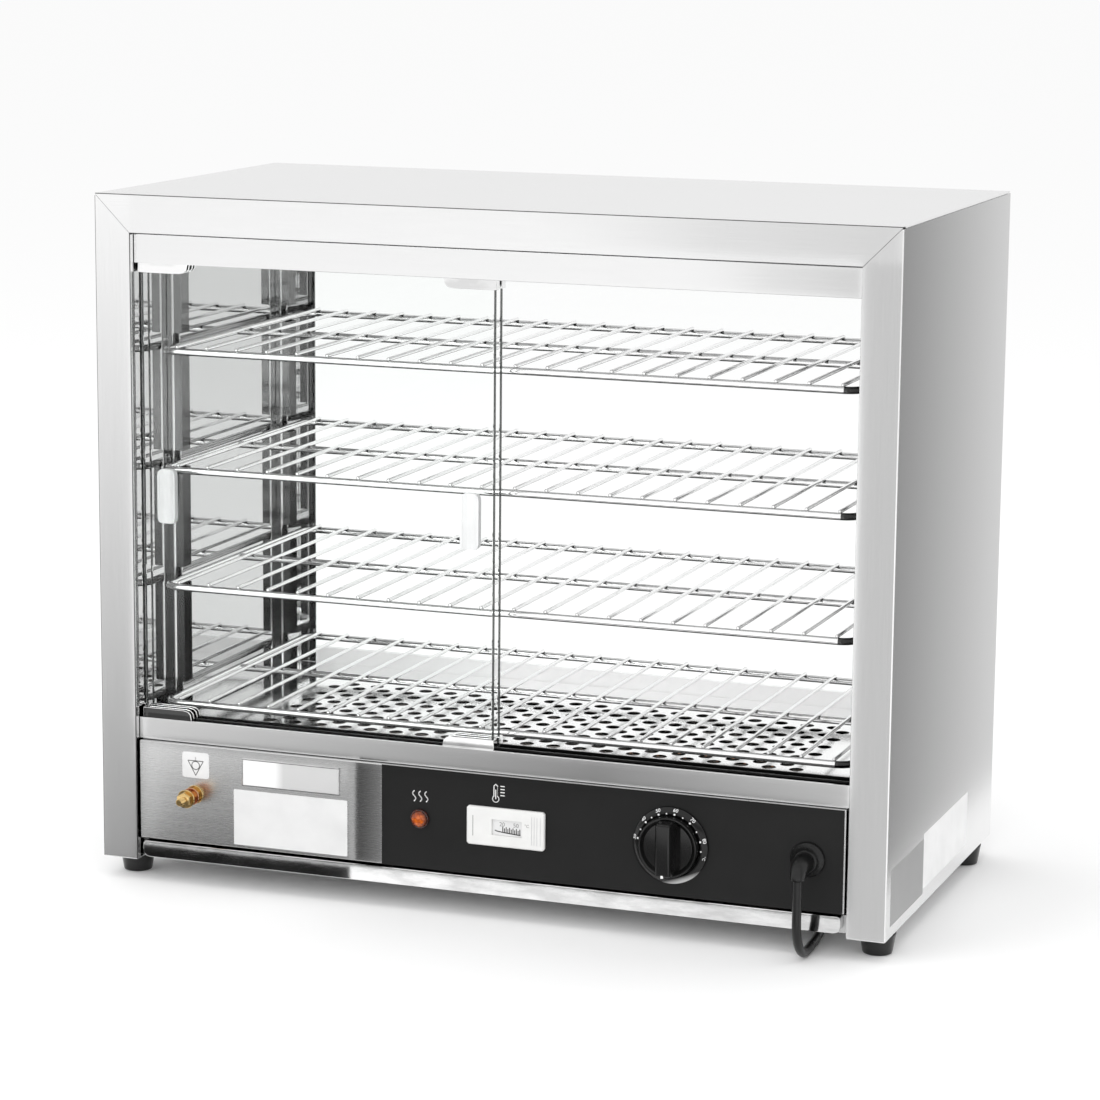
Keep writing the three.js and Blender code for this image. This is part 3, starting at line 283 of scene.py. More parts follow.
# %% Lower trim
# The trim is a bright pressing that isn't quite flat, so what it mirrors breaks into soft patches. Bump and
# roughness carry part of that, and the patches are also painted into its colour as a painted reflection.
trim_paint = Paint("polished_trim_steel", grey(0.9), 0.08, metallic=1)
trim_patches = trim_paint.noise(34, (1, 1, 3), 5)
trim_paint.set({
    "Base Color": trim_paint.blend(trim_paint.share(trim_patches, 0.38, 0.62), grey(0.76), grey(1.0)),
    "Roughness": trim_patches * 0.08 + 0.04,
})
trim_paint.bump(trim_patches, 0.06 * mm, 0.5)
trim_steel = trim_paint.material

# %% Rack posts
# A painted shade darkens the posts towards the plate, so their tone falls with height. A bead is pressed
# along each post, nearer to its outer edge, and a painted highlight shows it as a bright line. The posts
# stand the same way on both sides, so the square of the sideways place serves for both.
bead_across, bead_half = 0.38, 1.3 * mm
painted_shade_height, painted_light_height = 0.12, 0.5
post_low, post_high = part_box("rack_post_front_left")
bead_place = post_low.x + bead_across * (post_high.x - post_low.x)
post_paint = Paint("post_steel_painted_shade", grey(0.2), 0.08, metallic=1)
post_paint.set({"Specular Tint": (0.02, 0.02, 0.02, 1)})
post_height, sideways = post_paint.along(along_z), post_paint.along(along_x)
post_lit_share = post_paint.share(post_height, painted_shade_height, painted_light_height, interpolation_type="SMOOTHSTEP")
bead_distance = sideways * sideways - bead_place ** 2
# The bead is a real bump, and its bright line is a painted highlight.
bead_and_highlight_share = 1 - post_paint.share(bead_distance * bead_distance, 0, (2 * bead_place * bead_half) ** 2)
post_painted_shade = post_paint.blend(post_lit_share, grey(0.03), grey(0.34))
post_paint.set({
    "Base Color": post_paint.blend(bead_and_highlight_share, post_painted_shade, grey(0.85)),
    "Roughness": post_paint.noise(grain_fine, (1, 1, grain_long / grain_fine), 2) * 0.04 + 0.06,
})
post_paint.bump(bead_and_highlight_share, 0.5 * mm, 0.6)
post_steel = post_paint.material

# %% Rack wire
# Plated wire gets a tone painted by the way its surface faces: a painted reflection makes it bright on top
# and at its middle, and dark on its underside, which mirrors the dark below. The wires lie on the rails, so a
# painted shade line runs along the rails' very tops.
top_line_softness = 0.024


def rack_wire(name, low, high, top):
    """Dark under the rise called low, bright from high on, and dark again over the rise called top."""
    paint = Paint(name, grey(0.9), 0.08, metallic=0.85)
    rise = paint.along(along_z, paint.node("ShaderNodeNewGeometry", output="Normal"))
    bright = paint.share(rise, low, high) * (1 - paint.share(rise, top, top + top_line_softness))
    paint.set({
        "Base Color": paint.blend(bright, grey(0.015), grey(1.0)),
        "Roughness": paint.noise(1800) * 0.06 + 0.08,
    })
    return paint.material


rack_steel = rack_wire("rack_wire_painted_light", -0.65, -0.35, 1.1)
rack_rail_steel = rack_wire("rack_rail_painted_light", -0.7, -0.45, 0.955)

# %% [markdown]
# ## Glass, plastics, rubber and brass
# The panes are clear tempered glass, so their surface is a transmitting Principled shader at the index of
# glass. Plastics get a fine moulded texture in bump, because a flat colour reads as paper.

# %% Glass
glass_index, acrylic_index = 1.45, 1.49
glass_paint = Paint("clear_glass", (0.992, 0.998, 0.995), 0.0, ior=glass_index)
glass_paint.set({"Transmission Weight": 1.0, "Specular Tint": (0.1, 0.1, 0.1, 1)})
glass_paint.set({"Roughness": glass_paint.noise(6, (1, 1, 2.5), 4) * 0.02})
clear_glass = glass_paint.material
edge_paint = Paint("ground_glass_edge", (0.02, 0.026, 0.024), 0.22)
edge_paint.set({"Roughness": edge_paint.noise(900) * 0.1 + 0.16})
ground_edge = edge_paint.material

# %% Plastics and rubber


def moulded(name, color, roughness, texture=0.5, scale=1400, shine=0.5, **constants):
    """Moulded plastic or rubber: a fine spark-eroded texture and a little unevenness in its shine."""
    paint = Paint(name, color, roughness, **constants)
    grains = paint.noise(scale, (1, 1, 1), 2)
    clouds = paint.noise(40, (1, 1, 1), 3)
    paint.set({
        "Base Color": paint.blend(clouds, tinted(color, 0.86), tinted(color, 1.1)),
        "Roughness": (clouds - 0.5) * 0.16 + roughness,
        "Specular IOR Level": shine,
    })
    paint.bump(grains, 0.02 * mm, texture)
    return paint.material


overlay_film = moulded("overlay_film", grey(0.011), 0.45, 0.3, shine=0.22)
knob_plastic = moulded("knob_plastic", grey(0.006), 0.24, 0.2, shine=0.45)
gland_plastic = moulded("gland_plastic", grey(0.006), 0.3, 0.3, shine=0.4)
lead_rubber = moulded("lead_rubber", grey(0.008), 0.3, 0.3, shine=0.4)
plug_plastic = moulded("plug_plastic", grey(0.018), 0.5, 0.6)
foot_rubber = moulded("foot_rubber", grey(0.008), 0.22, 0.25)
white_plastic = moulded("white_plastic", (0.74, 0.74, 0.73), 0.3, 0.15)
frosted_plastic = moulded("frosted_plastic", (0.74, 0.75, 0.75), 0.42, 0.3, shine=0.3)
label_film = moulded("label_film", grey(0.7), 0.36, 0.1)
bright_film = moulded("bright_film", grey(0.92), 0.5, 0.1, shine=0.3)
dull_film = moulded("dull_film", grey(0.36), 0.4, 0.1, shine=0.3)
painted_glint_silver = moulded("painted_glint_silver", (0.62, 0.62, 0.63), 0.3, 0.1, metallic=0.6)
white_print = moulded("white_print", grey(0.85), 0.5, 0.1)
grey_print = moulded("grey_print", grey(0.2), 0.5, 0.1)
black_print = moulded("black_print", grey(0.01), 0.5, 0.1)
tie_fabric = moulded("tie_fabric", grey(0.02), 0.8, 1.0, 900)
ceramic = moulded("ceramic", (0.8, 0.78, 0.72), 0.5, 0.3)

# %% Foil of the bare badge
# The foil is white to the left and silver to the right.
badge_paint = Paint("badge_film", grey(0.9), 0.25, metallic=0.3)
silver_share = badge_paint.share(badge_paint.along(along_x), -0.172, -0.164)
badge_paint.set({
    "Base Color": badge_paint.blend(silver_share, grey(1.0), grey(0.66)),
    "Roughness": badge_paint.noise(60) * 0.1 + 0.2,
})
badge_film = badge_paint.material

# %% Brass, copper and element sheath


def warm_metal(name, color, roughness, darker):
    """A machined or drawn metal, with patches of handling tarnish."""
    paint = Paint(name, color, roughness, metallic=1)
    patches = paint.noise(260, (1, 1, 1), 3)
    paint.set({
        "Base Color": paint.blend(patches, tinted(color, darker), color),
        "Roughness": (patches - 0.5) * 0.18 + roughness,
    })
    return paint.material


brass = warm_metal("brass", (0.86, 0.6, 0.26), 0.16, 0.7)
copper = warm_metal("copper", (0.8, 0.42, 0.26), 0.2, 0.7)
element_sheath = warm_metal("element_sheath", (0.3, 0.27, 0.25), 0.4, 0.55)
spindle_steel = warm_metal("spindle_steel", grey(0.66), 0.25, 0.8)

# %% Amber lens
# The lamp's lens is cut in facets. It glows orange in the middle and is dark brown at its rim.
lens_middle = node_middle("indicator_lamp")
glow_radius, rim_radius = 3.6 * mm, 6.6 * mm
lens_paint = Paint("amber_lens", (0.5, 0.08, 0.004), 0.1, ior=acrylic_index)
lens_across = lens_paint.along(along_x) - lens_middle.x
lens_upward = lens_paint.along(along_z) - lens_middle.z
from_middle = lens_across * lens_across + lens_upward * lens_upward
rim_share = lens_paint.share(from_middle, glow_radius ** 2, rim_radius ** 2)
cut_cells = lens_paint.node("ShaderNodeTexVoronoi", {}, {"Vector": lens_paint.place, "Scale": 420})
facets = lens_paint.blend(cut_cells, (0.62, 0.13, 0.006), (0.16, 0.012, 0.0008))
rim_facets = lens_paint.blend(cut_cells * 1.6, (0.08, 0.008, 0.0012), (0.02, 0.003, 0.001))
lens_paint.set({"Base Color": lens_paint.blend(rim_share, facets, rim_facets), "Coat Weight": 0.35})
lens_paint.bump(cut_cells, 0.5 * mm, 0.5)
amber = lens_paint.material
print("materials:", len(bpy.data.materials))

# %% [markdown]
# ## Turning a mesh into a piece
# Every new piece ends the same way: its mesh gets its own object at the origin, a material, the body that it
# rides on and the nodes that it stands for. A few helpers for boxes and rounded edges serve many pieces, so
# they come first.

# %% Piece helper


def piece(bm, name, material, body="cabinet", stands_for=(), smooth_below=None):
    """Makes the bmesh an object of the model, its edges smooth under an angle of smooth_below degrees."""
    mesh = mesh_of(bm, name, material)
    if smooth_below:
        mesh.shade_smooth()
        mesh.set_sharp_from_angle(angle=math.radians(smooth_below))
    made = placed(name, mesh)
    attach(made, body)
    if stands_for:
        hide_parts(*stands_for)
    return made


def join_into(target, source):
    """Adds one bmesh to another and frees it."""
    carrier = bpy.data.meshes.new("carrier")
    source.to_mesh(carrier)
    source.free()
    target.from_mesh(carrier)
    bpy.data.meshes.remove(carrier)


# %% Helpers for edges and boxes
same_point = 0.005 * mm


def welded(bm, outwards=True):
    """Merges doubles and turns the faces outwards."""
    bmesh.ops.remove_doubles(bm, verts=bm.verts, dist=same_point)
    if outwards:
        bmesh.ops.recalc_face_normals(bm, faces=bm.faces)


def corners(parts):
    """The vertices among the parts that an operator made."""
    return [part for part in parts if isinstance(part, bmesh.types.BMVert)]


def rims(bm):
    """The edges round the faces that have more than four corners, such as the ends of a rod."""
    return [e for e in bm.edges if any(len(f.verts) > 4 for f in e.link_faces)]


def rounded_off(bm, edges, radius, segments, slide=False):
    bmesh.ops.bevel(bm, geom=edges, offset=radius, offset_type="OFFSET", affect="EDGES", segments=segments,
                    profile=0.5, material=-1, clamp_overlap=True, loop_slide=slide)


def block(size, centre, bevel=0, segments=3, edges="all"):
    """A box with bevelled edges, size in metres. edges picks all of them or only those along Y."""
    bm = bmesh.new()
    bmesh.ops.create_cube(bm, size=1)
    bmesh.ops.scale(bm, vec=size, verts=bm.verts)
    if bevel:
        chosen = bm.edges[:]
        if edges == "y":
            chosen = [e for e in bm.edges if abs((e.verts[0].co - e.verts[1].co).normalized().y) > 0.9]
        rounded_off(bm, chosen, bevel, segments)
    bmesh.ops.translate(bm, vec=centre, verts=bm.verts)
    return bm


# %% [markdown]
# ## Folded sheet and moulded cases
# A folded sheet has small outside radii that catch the light as a thin line. The CAD solids have the right
# outlines but sharp edges, so a copy of each is merged, its flat faces are joined again, and the edges that
# turn more than a set angle are bevelled. The copy replaces the node.

# %% Eased copies of CAD solids
flat_angle = math.radians(0.6)
turn_over = math.radians(30)
fold_face = 2.4 * mm
sheet_edge, sheet_fold, post_fold = 0.25 * mm, 1.3 * mm, 1 * mm


def is_sharp(edge):
    return len(edge.link_faces) == 2 and edge.calc_face_angle(0) > turn_over


def is_fold(edge):
    """An outside corner between two faces that are both wide, so not the cut edge of a sheet."""
    wide = all(f.calc_area() > fold_face * edge.calc_length() for f in edge.link_faces)
    return is_sharp(edge) and wide and edge.is_convex


def eased(node, radius, material, segments=2, fold=0, body="cabinet"):
    """A copy of a CAD node with rounded edges, and larger rounds at a sheet's folds, in place of the node."""
    bm = bmesh.new()
    bm.from_mesh(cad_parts[node].data)
    bmesh.ops.remove_doubles(bm, verts=bm.verts, dist=same_point)
    bmesh.ops.dissolve_limit(bm, angle_limit=flat_angle, verts=bm.verts, edges=bm.edges)
    if fold:
        rounded_off(bm, [e for e in bm.edges if is_fold(e)], fold, 4, slide=True)
    rounded_off(bm, [e for e in bm.edges if is_sharp(e)], radius, segments, slide=True)
    return piece(bm, node + "_finished", material, body, (node,))


# %% Casing, inner walls and carried cases
for node, material in (
    ("side_panel_left", side_steel), ("side_panel_right", side_steel), ("top_panel", rail_steel),
    ("rear_lower_panel", rail_steel), ("rear_sill_channel", sill_steel), ("rear_head_channel", rail_steel),
    ("upper_track", track_steel), ("lower_track", track_steel), ("base_pan", inner_steel),
    ("control_panel", panel_steel),
):
    eased(node, sheet_edge, material, 2, sheet_fold)
for node, material in (("inner_wall_left", wall_steel), ("inner_wall_right", wall_steel),
                       ("inner_ceiling", ceiling_steel), ("heater_tray", painted_shade_steel)):
    eased(node, sheet_edge, material)
for node in [f"rack_post_{end}_{side}" for end in ("front", "rear") for side in ("left", "right")]:
    eased(node, sheet_edge, post_steel, 2, post_fold)
for node, radius, material, slot, segments in (
    ("lower_trim", 0.5, trim_steel, "polished_steel", 3),
    ("panel_overlay", 0.1, overlay_film, "overlay_film", 2),
    ("element_bracket_left", 0.2, inner_steel, "satin_steel", 2),
    ("element_bracket_right", 0.2, inner_steel, "satin_steel", 2),
    ("terminal_block", 0.6, ceramic, "white_plastic", 2),
    ("thermostat_body", 0.4, white_plastic, "white_plastic", 2),
    ("thermometer", 0.25, white_plastic, "white_plastic", 2),
):
    eased(node, radius * mm, material, segments)

# %% Painted shade in the seams and in the lower track's channel
# A mitre or a tight fold shows as a dark line, so the narrow faces that turn near the front get a painted
# shade.
# Behind its front wall the lower track's channel is painted dark as shade.
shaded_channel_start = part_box("lower_track")[0].y + 2.5 * mm
seam_depth = 6 * mm
turned_over = 0.2


def second_finish(node, finish, chosen):
    """Gives the faces that are chosen a material of their own."""
    mesh = bpy.data.objects[node + "_finished"].data
    mesh.materials.append(finish)
    for face in mesh.polygons:
        face.material_index = int(chosen(face))


def finish_turns(node, planes, finish, depth=1.0):
    """Gives the narrow faces that turn in these planes another material, from the front back to the depth."""
    limit = spot(0, 0, 0).y + depth

    def chosen(face):
        leans = [abs(part) > turned_over for part in face.normal]
        return face.center.y < limit and any(leans[a] and leans[b] for a, b in planes)

    second_finish(node, finish, chosen)


for node, planes in (
    ("top_panel", [(along_y, along_z), (along_x, along_z)]),
    ("side_panel_left", [(along_x, along_y), (along_x, along_z)]),
    ("side_panel_right", [(along_x, along_z)]),
):
    finish_turns(node, planes, painted_seam_shade, seam_depth)
second_finish("lower_track", painted_shade_steel, lambda face: face.center.y > shaded_channel_start)

# %% [markdown]
# ## Doors
# Each sliding door is a 5 mm pane with four polished corner shoes and a stick-on finger pull. The panes'
# edges are ground, so they get a slightly larger bevel than a sheet's edge.

# %% Doors and rear pane
for door in ("front_track_door", "rear_track_door"):
    pane = eased(door + "_pane", 0.6 * mm, clear_glass, 2, body=door)
    pane.visible_shadow = False
    second_finish(door + "_pane", ground_edge, lambda face: abs(face.normal.x) > 0.4)
    for row in ("lower", "upper"):
        for side in ("left", "right"):
            # The lower left shoe of each door is painted dark, a painted dark reflection.
            finish = chrome_painted_dark if (row, side) == ("lower", "left") else trim_steel
            eased(f"{door}_{row}_{side}_clip", 0.5 * mm, finish, 3, body=door)
    # That shoe's turned edges get bright steel as a painted highlight.
    finish_turns(door + "_lower_left_clip", [(0, 1), (0, 2), (1, 2)], track_steel)
    eased(door + "_pull", 1.1 * mm, frosted_plastic, 3, body=door)
eased("rear_pane", 0.5 * mm, clear_glass, 2).visible_shadow = False

# %% Black strips as painted shade in the lower track
# Black strips stand in the channels that the doors run in as painted shade, so the track reads as a black
# line above the sill.
track_low, track_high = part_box("lower_track")
strip_thick, strip_tall, strip_short = 0.5 * mm, 6 * mm, 24 * mm
for name, y in (("middle", 18.0), ("rear", 29.9)):
    size = Vector((track_high.x - track_low.x - strip_short, strip_thick, strip_tall))
    centre = Vector((0, spot(0, y, 0).y - strip_thick / 2, track_high.z - 3.1 * mm))
    piece(block(size, centre), f"painted_shade_strip_{name}", tie_fabric)

# %% [markdown]
# ## Wire racks
# A rack is a bent rail with one rail across its middle and 22 wires welded on top. The CAD solids have few
# sides, so round rods replace them. A rod could be a curve with a bevel, but a circle that is extruded and
# spun round each corner gives an even mesh and exact corner radii.

# %% Rods and bent rails
rail_radius, wire_radius = 2.8 * mm, 1.5 * mm
rail_sides, wire_sides = 16, 12
wire_sink, wire_tip, wire_pitch = 0.6 * mm, 1.4 * mm, 25.5 * mm
wires_a_side = 11
rack_corner = 12 * mm


def rod(start, end, radius, sides, dome=0.85):
    """A straight round rod with domed ends."""
    bm = bmesh.new()
    run = end - start
    bmesh.ops.create_cone(bm, cap_ends=True, segments=sides, radius1=radius, radius2=radius, depth=run.length)
    rounded_off(bm, rims(bm), radius * dome, 3)
    bmesh.ops.transform(bm, matrix=aimed((start + end) / 2, run.normalized()), verts=bm.verts)
    return bm


def bent_rail(low, high, level, radius, corner, sides):
    """A closed rail round a rectangle, from a circle that is extruded along each side and spun at corners."""
    bm = bmesh.new()
    bmesh.ops.create_circle(bm, segments=sides, radius=radius)
    start = Vector((low.x + corner, low.y, level))
    bmesh.ops.transform(bm, matrix=aimed(start, X), verts=bm.verts)
    ring = list(bm.edges)
    wide, deep = high.x - low.x - 2 * corner, high.y - low.y - 2 * corner
    for run, x, y in (
        (X * wide, high.x - corner, low.y + corner), (Y * deep, high.x - corner, high.y - corner),
        (X * -wide, low.x + corner, high.y - corner), (Y * -deep, low.x + corner, low.y + corner),
    ):
        made = bmesh.ops.extrude_edge_only(bm, edges=ring)["geom"]
        moved = corners(made)
        bmesh.ops.translate(bm, vec=run, verts=moved)
        ring = [e for e in made if isinstance(e, bmesh.types.BMEdge) and all(v in moved for v in e.verts)]
        bend = bmesh.ops.spin(bm, geom=ring, cent=(x, y, level), axis=Z, angle=math.pi / 2, steps=6)
        ring = [e for e in bend["geom_last"] if isinstance(e, bmesh.types.BMEdge)]
    welded(bm)
    return bm


# %% Wire racks
# The bend at each rack's front right corner is in the shade of the stile, so it is painted black as shade.
corner_reach = 11 * mm
for number in (1, 2, 3, 4):
    node = f"wire_rack_{number}"
    low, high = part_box(node)
    level = low.z + rail_radius
    inset = Vector((rail_radius, rail_radius, 0))
    low, high = low + inset, high - inset
    bm = bent_rail(low, high, level, rail_radius, rack_corner, rail_sides)
    middle = (low.y + high.y) / 2
    ends = (Vector((low.x, middle, level)), Vector((high.x, middle, level)))
    join_into(bm, rod(*ends, rail_radius, rail_sides, 0.2))
    rail_faces = len(bm.faces)
    wire_level = level + rail_radius + wire_radius - wire_sink
    for i in range(-wires_a_side, wires_a_side):
        x = (i + 0.5) * wire_pitch
        ends = (Vector((x, low.y - wire_tip, wire_level)), Vector((x, high.y + wire_tip, wire_level)))
        join_into(bm, rod(*ends, wire_radius, wire_sides))
    name = f"rack_{number}_wires"
    rack = piece(bm, name, rack_steel, stands_for=(node,), smooth_below=50)
    rack.data.materials.append(rack_rail_steel)
    rack.data.materials.append(chrome_painted_dark)
    for face in rack.data.polygons[:rail_faces]:
        at_corner = face.center.x > high.x - corner_reach and face.center.y < low.y + corner_reach
        face.material_index = 2 if at_corner else 1

# %% [markdown]
# ## Perforated plate
# The bottom plate has punched holes in staggered rows over the heaters, and a plain border. Cutting them
# with booleans is slow, so one tile with a hole is made from a circle whose rim is pulled out to the tile's
# border, and the tile is copied over the plate. The border points of neighbouring rows meet, so the tiles
# weld.

# %% Perforated plate
hole_radius, hole_sides = 5.6 * mm, 16
hole_pitch, row_pitch = 22 * mm, 13 * mm
plate_sheet = 1.2 * mm


def hole_tile(width, depth, radius):
    """A flat tile with a round hole, its border points a quarter of the width apart."""
    bm = bmesh.new()
    bmesh.ops.create_circle(bm, segments=hole_sides, radius=radius)
    for vert in corners(bmesh.ops.extrude_edge_only(bm, edges=bm.edges[:])["geom"]):
        square = vert.co.normalized()
        square /= max(abs(square.x), abs(square.y))
        vert.co = Vector((round(square.x * 2) / 2 * width / 2, round(square.y * 2) / 2 * depth / 2, 0))
    welded(bm, outwards=False)
    return bm


low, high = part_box("perforated_plate")
side_border, front_border, rear_border = 53 * mm, 9 * mm, 53 * mm
columns = int((high.x - low.x - 2 * side_border) / hole_pitch)
rows = int((high.y - low.y - front_border - rear_border) / row_pitch)
left = -(columns - 1) / 2 * hole_pitch
front = low.y + front_border + row_pitch / 2
sheet_level = high.z - plate_sheet
bm = bmesh.new()
for row in range(rows):
    shifted = row % 2
    for column in range(columns - shifted):
        tile = hole_tile(hole_pitch, row_pitch, hole_radius)
        centre = Vector((left + (column + shifted / 2) * hole_pitch, front + row * row_pitch, sheet_level))
        bmesh.ops.translate(tile, vec=centre, verts=tile.verts)
        join_into(bm, tile)
welded(bm, outwards=False)
print("perforated plate:", columns, "by", rows, "holes")

# %% [markdown]
# The tiles leave an uneven border, where the shifted rows end half a tile short. Plain strips fill those
# halves and the margin out to the plate's outline. Then the sheet gets its thickness and its two folded lips.

# %% Plate margin
field_half = columns / 2 * hole_pitch
field_front, field_rear = front - row_pitch / 2, front + (rows - 0.5) * row_pitch


def margin(left, front, right, rear):
    """A plain strip of the sheet."""
    strip = bmesh.new()
    bmesh.ops.create_grid(strip, x_segments=1, y_segments=1, size=0.5)
    bmesh.ops.scale(strip, vec=Vector((right - left, rear - front, 1)), verts=strip.verts)
    middle = Vector(((left + right) / 2, (front + rear) / 2, sheet_level))
    bmesh.ops.translate(strip, vec=middle, verts=strip.verts)
    return strip


strips = [
    (low.x, low.y, high.x, field_front), (low.x, field_rear, high.x, high.y),
    (low.x, field_front, -field_half, field_rear), (field_half, field_front, high.x, field_rear),
]
for row in range(1, rows, 2):
    y = front + (row - 0.5) * row_pitch
    strips += [(-field_half, y, -field_half + hole_pitch / 2, y + row_pitch),
               (field_half - hole_pitch / 2, y, field_half, y + row_pitch)]
for strip in strips:
    join_into(bm, margin(*strip))
welded(bm)
if sum(f.normal.z for f in bm.faces) < 0:
    bmesh.ops.reverse_faces(bm, faces=bm.faces)

# %% Plate thickness and lips
made = bmesh.ops.extrude_face_region(bm, geom=bm.faces[:])["geom"]
bmesh.ops.translate(bm, vec=Z * plate_sheet, verts=corners(made))
bmesh.ops.recalc_face_normals(bm, faces=bm.faces)
for y in (low.y, high.y - plate_sheet):
    centre = Vector((0, y + plate_sheet / 2, (low.z + sheet_level) / 2))
    join_into(bm, block(Vector((high.x - low.x, plate_sheet, sheet_level - low.z)), centre))
piece(bm, "perforated_plate_punched", plate_steel, stands_for=("perforated_plate",))

# %% [markdown]
# ## Turned pieces
# The knob, dial, lamp, feet, stud, washers and gland are bodies of revolution. Each is a profile of radius
# and height that is spun round an axis, which gives a round silhouette from any side.

# %% Spinning a profile


def spun(profile, centre, axis=-Y, steps=64):
    """Spins a profile of (radius, height) in millimetres round an axis through a centre."""
    bm = bmesh.new()
    verts = [bm.verts.new((radius * mm, 0, height * mm)) for radius, height in profile]
    edges = [bm.edges.new(pair) for pair in zip(verts, verts[1:])]
    bmesh.ops.spin(bm, geom=verts + edges, cent=(0, 0, 0), axis=Z, angle=2 * math.pi, steps=steps,
                   use_merge=True)
    welded(bm)
    bmesh.ops.transform(bm, matrix=aimed(centre, axis), verts=bm.verts)
    return bm


# %% Feet
for node in [f"foot_{end}_{side}" for end in ("front", "rear") for side in ("left", "right")]:
    low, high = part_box(node)
    centre = node_middle(node)
    centre.z = low.z
    tall = (high.z - low.z) / mm
    profile = [
        (0, 0.6), (4.6, 0.6), (5.2, 0), (9.9, 0), (11, 0.5), (11.4, 1.6), (13.5, tall - 2.6),
        (13.8, tall - 1.8), (13.8, tall - 0.6), (13.3, tall), (0, tall),
    ]
    bm = spun(profile, centre, Z)
    piece(bm, f"rubber_{node}", foot_rubber, stands_for=(node,), smooth_below=40)

# %% [markdown]
# ## Thermostat knob and dial
# The knob is a dished disc with a bar across it for the fingers. The dial ring round it carries plain numbers
# in degrees and dots halfway between them. The numbers are text objects, made into meshes and laid on the
# ring's sloping face.

# %% Knob
knob_low, knob_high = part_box("thermostat_knob")
knob_centre = node_middle("thermostat_knob")
knob_centre.y = knob_high.y
knob_profile = [
    (0, 0), (22.6, 0), (23.1, 0.5), (23.1, 8), (22.7, 8.8), (21.9, 9), (21.2, 8.6), (20.4, 7.4), (18.6, 5.4),
    (16, 4.7), (0, 4.5),
]
bm = spun(knob_profile, knob_centre, -Y, 96)

# %% Grip of the knob
# The bar is narrower and shorter at its front.
grip_wide, grip_tall, grip_start = 13 * mm, 42.8 * mm, 3 * mm
grip_deep = knob_high.y - knob_low.y - grip_start
grip = block(Vector((grip_wide, grip_deep, grip_tall)), Vector())
bmesh.ops.scale(grip, vec=Vector((0.84, 1, 0.94)), verts=[v for v in grip.verts if v.co.y < 0])
rounded_off(grip, grip.edges[:], 1.7 * mm, 4, slide=True)
grip_middle = knob_centre.copy()
grip_middle.y = knob_low.y + grip_deep / 2
bmesh.ops.translate(grip, vec=grip_middle, verts=grip.verts)
join_into(bm, grip)

# %% Pads beside the grip, and the pointer
pad_radius, pad_start, pad_tall, pad_seat = 19.3 * mm, 9.5 * mm, 2.6 * mm, 4.4 * mm
for side in (-1, 1):
    pad = bmesh.new()
    bmesh.ops.create_circle(pad, cap_ends=True, segments=64, radius=pad_radius)
    whole = pad.verts[:] + pad.edges[:] + pad.faces[:]
    bmesh.ops.bisect_plane(pad, geom=whole, plane_co=X * side * pad_start, plane_no=X * -side,
                           clear_outer=True)
    lifted = bmesh.ops.extrude_face_region(pad, geom=pad.faces[:])["geom"]
    bmesh.ops.translate(pad, vec=Z * pad_tall, verts=corners(lifted))
    bmesh.ops.recalc_face_normals(pad, faces=pad.faces)
    rounded_off(pad, [e for e in pad.edges if is_sharp(e)], 0.5 * mm, 3, slide=True)
    bmesh.ops.transform(pad, matrix=aimed(knob_centre - Y * pad_seat, -Y), verts=pad.verts)
    join_into(bm, pad)
piece(bm, "knob_with_grip", knob_plastic, "thermostat_knob", ("thermostat_knob",), 35)
mark_place = grip_middle + Vector((0, -grip_deep / 2 + 0.5 * mm, -19.6 * mm))
mark = block(Vector((1.9, 1, 2.2)) * mm, mark_place, 0.12 * mm)
piece(mark, "knob_pointer_mark", white_print, "thermostat_knob")

# %% Dial ring
dial_low, dial_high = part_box("dial_ring")
dial_centre = node_middle("dial_ring")
dial_centre.y = dial_high.y
dial_outer = (dial_high.x - dial_low.x) / 2 / mm
# The printed slope falls from (crest_radius, crest_rise) to (slope_end, slope_end_rise).
crest_radius, crest_rise = 26.2, 3.85
slope_end, slope_end_rise = dial_outer - 0.7, 1.75
dial_profile = [
    (24.1, 0), (dial_outer - 0.3, 0), (dial_outer - 0.05, 0.4), (dial_outer - 0.1, 1.2),
    (slope_end, slope_end_rise), (crest_radius, crest_rise), (25.5, 4.15), (24.5, 4.15), (24.1, 3.8),
    (24.1, 0),
]
bm = spun(dial_profile, dial_centre, -Y, 96)
# The light that the ring's lower bevel catches is painted into its colour as a crescent highlight, a little
# to the right of its lowest point.
dial_paint = Paint("dial_ring_plastic", grey(0.004), 0.16)
towards_crescent = ((dial_paint.along(along_x) - dial_centre.x) * 0.35
                    + (dial_paint.along(along_z) - dial_centre.z) * -0.94)
crescent_highlight_share = dial_paint.share(towards_crescent, 24.5 * mm, 28.5 * mm)
dial_paint.set({
    "Base Color": dial_paint.blend(crescent_highlight_share, grey(0.004), grey(0.5)),
    "Specular IOR Level": 0.4,
})
piece(bm, "dial_ring_turned", dial_paint.material, stands_for=("dial_ring",),
      smooth_below=50)

# %% Numbers as meshes


